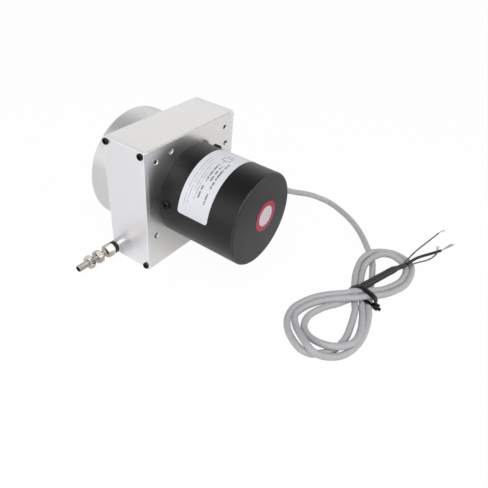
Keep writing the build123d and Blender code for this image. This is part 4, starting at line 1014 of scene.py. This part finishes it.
def block(form, place, size, bevel):
    """A block with rounded edges."""
    made = bmesh.ops.create_cube(form, size=1.0, matrix=place @ Matrix.Diagonal((*size, 1.0)))
    edges = list({edge for vert in made["verts"] for edge in vert.link_edges})
    bmesh.ops.bevel(form, geom=edges, offset=bevel, segments=3, profile=0.5, affect="EDGES", clamp_overlap=True)


head_place = placed((28.4, -193.9, 3.0), facing=(0.05, -1.0, -0.25), sideways=(1, 0, 0))
block(strap_form, head_place, size=(5.2, 4.4, 4.4), bevel=0.8)
tail_line = [Vector(point) for point in (
    (26.4, -179.5, 5.9), (25.9, -182.0, 5.9), (25.7, -184.5, 5.95), (25.5, -187.5, 5.9), (25.6, -190.2, 5.2),
    (26.2, -192.4, 4.2), (27.0, -194.6, 3.2), (27.6, -196.4, 2.7), (28.0, -198.0, 2.4),
)]
tail = strap_rings(tail_line, width=3.4, thickness=1.1, closed=False, rib=0.1)
skinned(strap_form, [[tail_line[0]] * 12, *tail, [tail_line[-1]] * 12])
strap = fitted(ready("strap_tie", strap_form, tie_black, 40.0), "housing", "tie_black", "cable_tie")


# Heat-shrink sleeve over the cable's end, and the bared wires

def plain_mesh(made):
    """A curve object becomes a mesh object."""
    seen = bpy.context.evaluated_depsgraph_get()
    mesh = bpy.data.meshes.new_from_object(made.evaluated_get(seen), depsgraph=seen)
    name = made.name
    bpy.data.objects.remove(made)
    plain = bpy.data.objects.new(name, mesh)
    scene.collection.objects.link(plain)
    return plain


sleeve_points = [
    (35.6, -176.0, 8.9), (37.2, -176.5, 9.0), (41.0, -177.7, 9.1), (51.0, -180.9, 9.1), (57.0, -182.7, 9.1),
    (63.0, -184.6, 9.1), (69.0, -186.4, 9.1), (73.0, -187.7, 9.1), (75.2, -188.4, 9.1), (76.8, -189.1, 9.1),
    (78.5, -189.9, 9.1), (82.0, -191.4, 9.1), (85.0, -192.8, 9.1), (87.4, -193.8, 9.1), (88.2, -194.2, 9.1),
]
sleeve_radii = [2.9, 3.15, 3.2, 3.12, 3.2, 3.1, 3.18, 3.15, 3.05, 2.7, 2.3, 2.12, 2.18, 2.1, 1.9]
shrink = plain_mesh(cord_curve("shrink_sleeve", sleeve_points, 2 * mm, shrink_black, sleeve_radii))
fitted(shrink, "housing", "shrink", "end_sleeve")

# each lead's middle line, how many strands, how far out they lie, and how much they spread at the tip
bared = [
    ([(168.6, -200.0, 1.3), (171.5, -200.5, 1.15), (176.0, -201.4, 0.8), (179.4, -203.4, 0.6)], 7, 0.36, 0.4),
    ([(138.5, -210.9, 3.0), (142.5, -212.4, 2.8), (151.0, -214.4, 1.7), (161.8, -217.4, 0.75)], 12, 0.66, 0.5),
    ([(134.8, -209.6, 0.8), (138.0, -209.4, 0.75), (142.0, -208.4, 0.65), (148.4, -206.6, 0.6)], 7, 0.38, 0.5),
]
strands_data = bpy.data.curves.new("bared_strands", "CURVE")
strands_data.dimensions = "3D"
strands_data.bevel_depth = 0.16 * mm
strands_data.bevel_resolution = 2
strands_data.use_fill_caps = True
strands_data.resolution_u = 6
for line, count, bundle, spread in bared:
    for k in range(count):
        strand = strands_data.splines.new("NURBS")
        strand.points.add(len(line) - 1)
        for i, (point, where) in enumerate(zip(strand.points, line)):
            turn = 2 * math.pi * k / count + i * 0.9
            reach = bundle + spread * max(0, i - 1) ** 1.5 * (0.55 + 0.45 * math.sin(2.3 * k))
            side = math.cos(turn) * reach
            x = where[0] - side * 0.35 + (math.sin(1.7 * k) * 0.9 if i == 3 else 0.0)
            height = max(0.2, where[2] + math.sin(turn) * reach * 0.6)
            point.co = (x * mm, (where[1] + side * 0.9) * mm, height * mm, 1)
        strand.order_u = 3
        strand.use_endpoint_u = True
strands_data.materials.append(tinned)
strands = bpy.data.objects.new("bared_strands", strands_data)
scene.collection.objects.link(strands)
strands = fitted(plain_mesh(strands), "housing", "tinned", "bare_tips")


# Floor and light

def soft_light(name, where, towards, size, power):
    data = bpy.data.lights.new(name, "AREA")
    data.shape = "DISK"
    data.size = size
    data.energy = power
    lamp = bpy.data.objects.new(name, data)
    scene.collection.objects.link(lamp)
    lamp.location = where
    lamp.rotation_euler = (Vector(where) - Vector(towards)).to_track_quat("Z", "Y").to_euler()


def seen_rays(tree):
    """1 for the camera's rays and for what gloss and glass show, 0 for the light that falls on things."""
    camera_ray = tree.node("ShaderNodeLightPath", {}, {}, "Is Camera Ray")
    glossy, clear = tree.others(camera_ray, "Is Glossy Ray", "Is Transmission Ray")
    return camera_ray.most(glossy).most(clear)


floor_half = 6.0
floor_mesh = bpy.data.meshes.new("floor")
corners = [(x * floor_half, y * floor_half, 0) for x, y in ((-1, -1), (1, -1), (1, 1), (-1, 1))]
floor_mesh.from_pydata(corners, [], [(0, 1, 2, 3)])
floor = bpy.data.objects.new("floor", floor_mesh)
scene.collection.objects.link(floor)
paper = Finish("floor_white", (0.92, 0.92, 0.92), 0.85)
glow = paper.node("ShaderNodeEmission", {}, {"Color": (1, 1, 1, 1), "Strength": 1.0})
lit = Value(paper, paper.shader.outputs["BSDF"])
camera_ray = paper.node("ShaderNodeLightPath", {}, {}, "Is Camera Ray")
shown = paper.node("ShaderNodeMixShader", {}, [seen_rays(paper) * 0.3 + camera_ray * 0.66, lit, glow])
paper.connect(paper.tree.nodes["Material Output"].inputs["Surface"], shown)
floor_mesh.materials.append(paper.material)

middle = (0.03, -0.08, 0.04)
soft_light("key", (-0.7, -0.5, 1.3), middle, 1.4, 14)
soft_light("fill", (-1.3, 0.3, 0.6), middle, 1.3, 3.5)
soft_light("front", (0.6, -1.4, 0.7), middle, 1.3, 4.5)

room = bpy.data.worlds.new("room")
room.use_nodes = True
sky = Nodes(room.node_tree)
background = room.node_tree.nodes["Background"]
background.inputs["Color"].default_value = (1, 1, 1, 1)
way = sky.node("ShaderNodeTexCoord", {}, {}, "Generated")
overhead = sky.others(sky.node("ShaderNodeSeparateXYZ", {}, [way]), "Z")[0].faded(0.54, 0.9)
sky.connect(background.inputs["Strength"], seen_rays(sky) * (0.6 - overhead * 0.8) + 0.4)
scene.world = room
scene.view_settings.view_transform = "Standard"
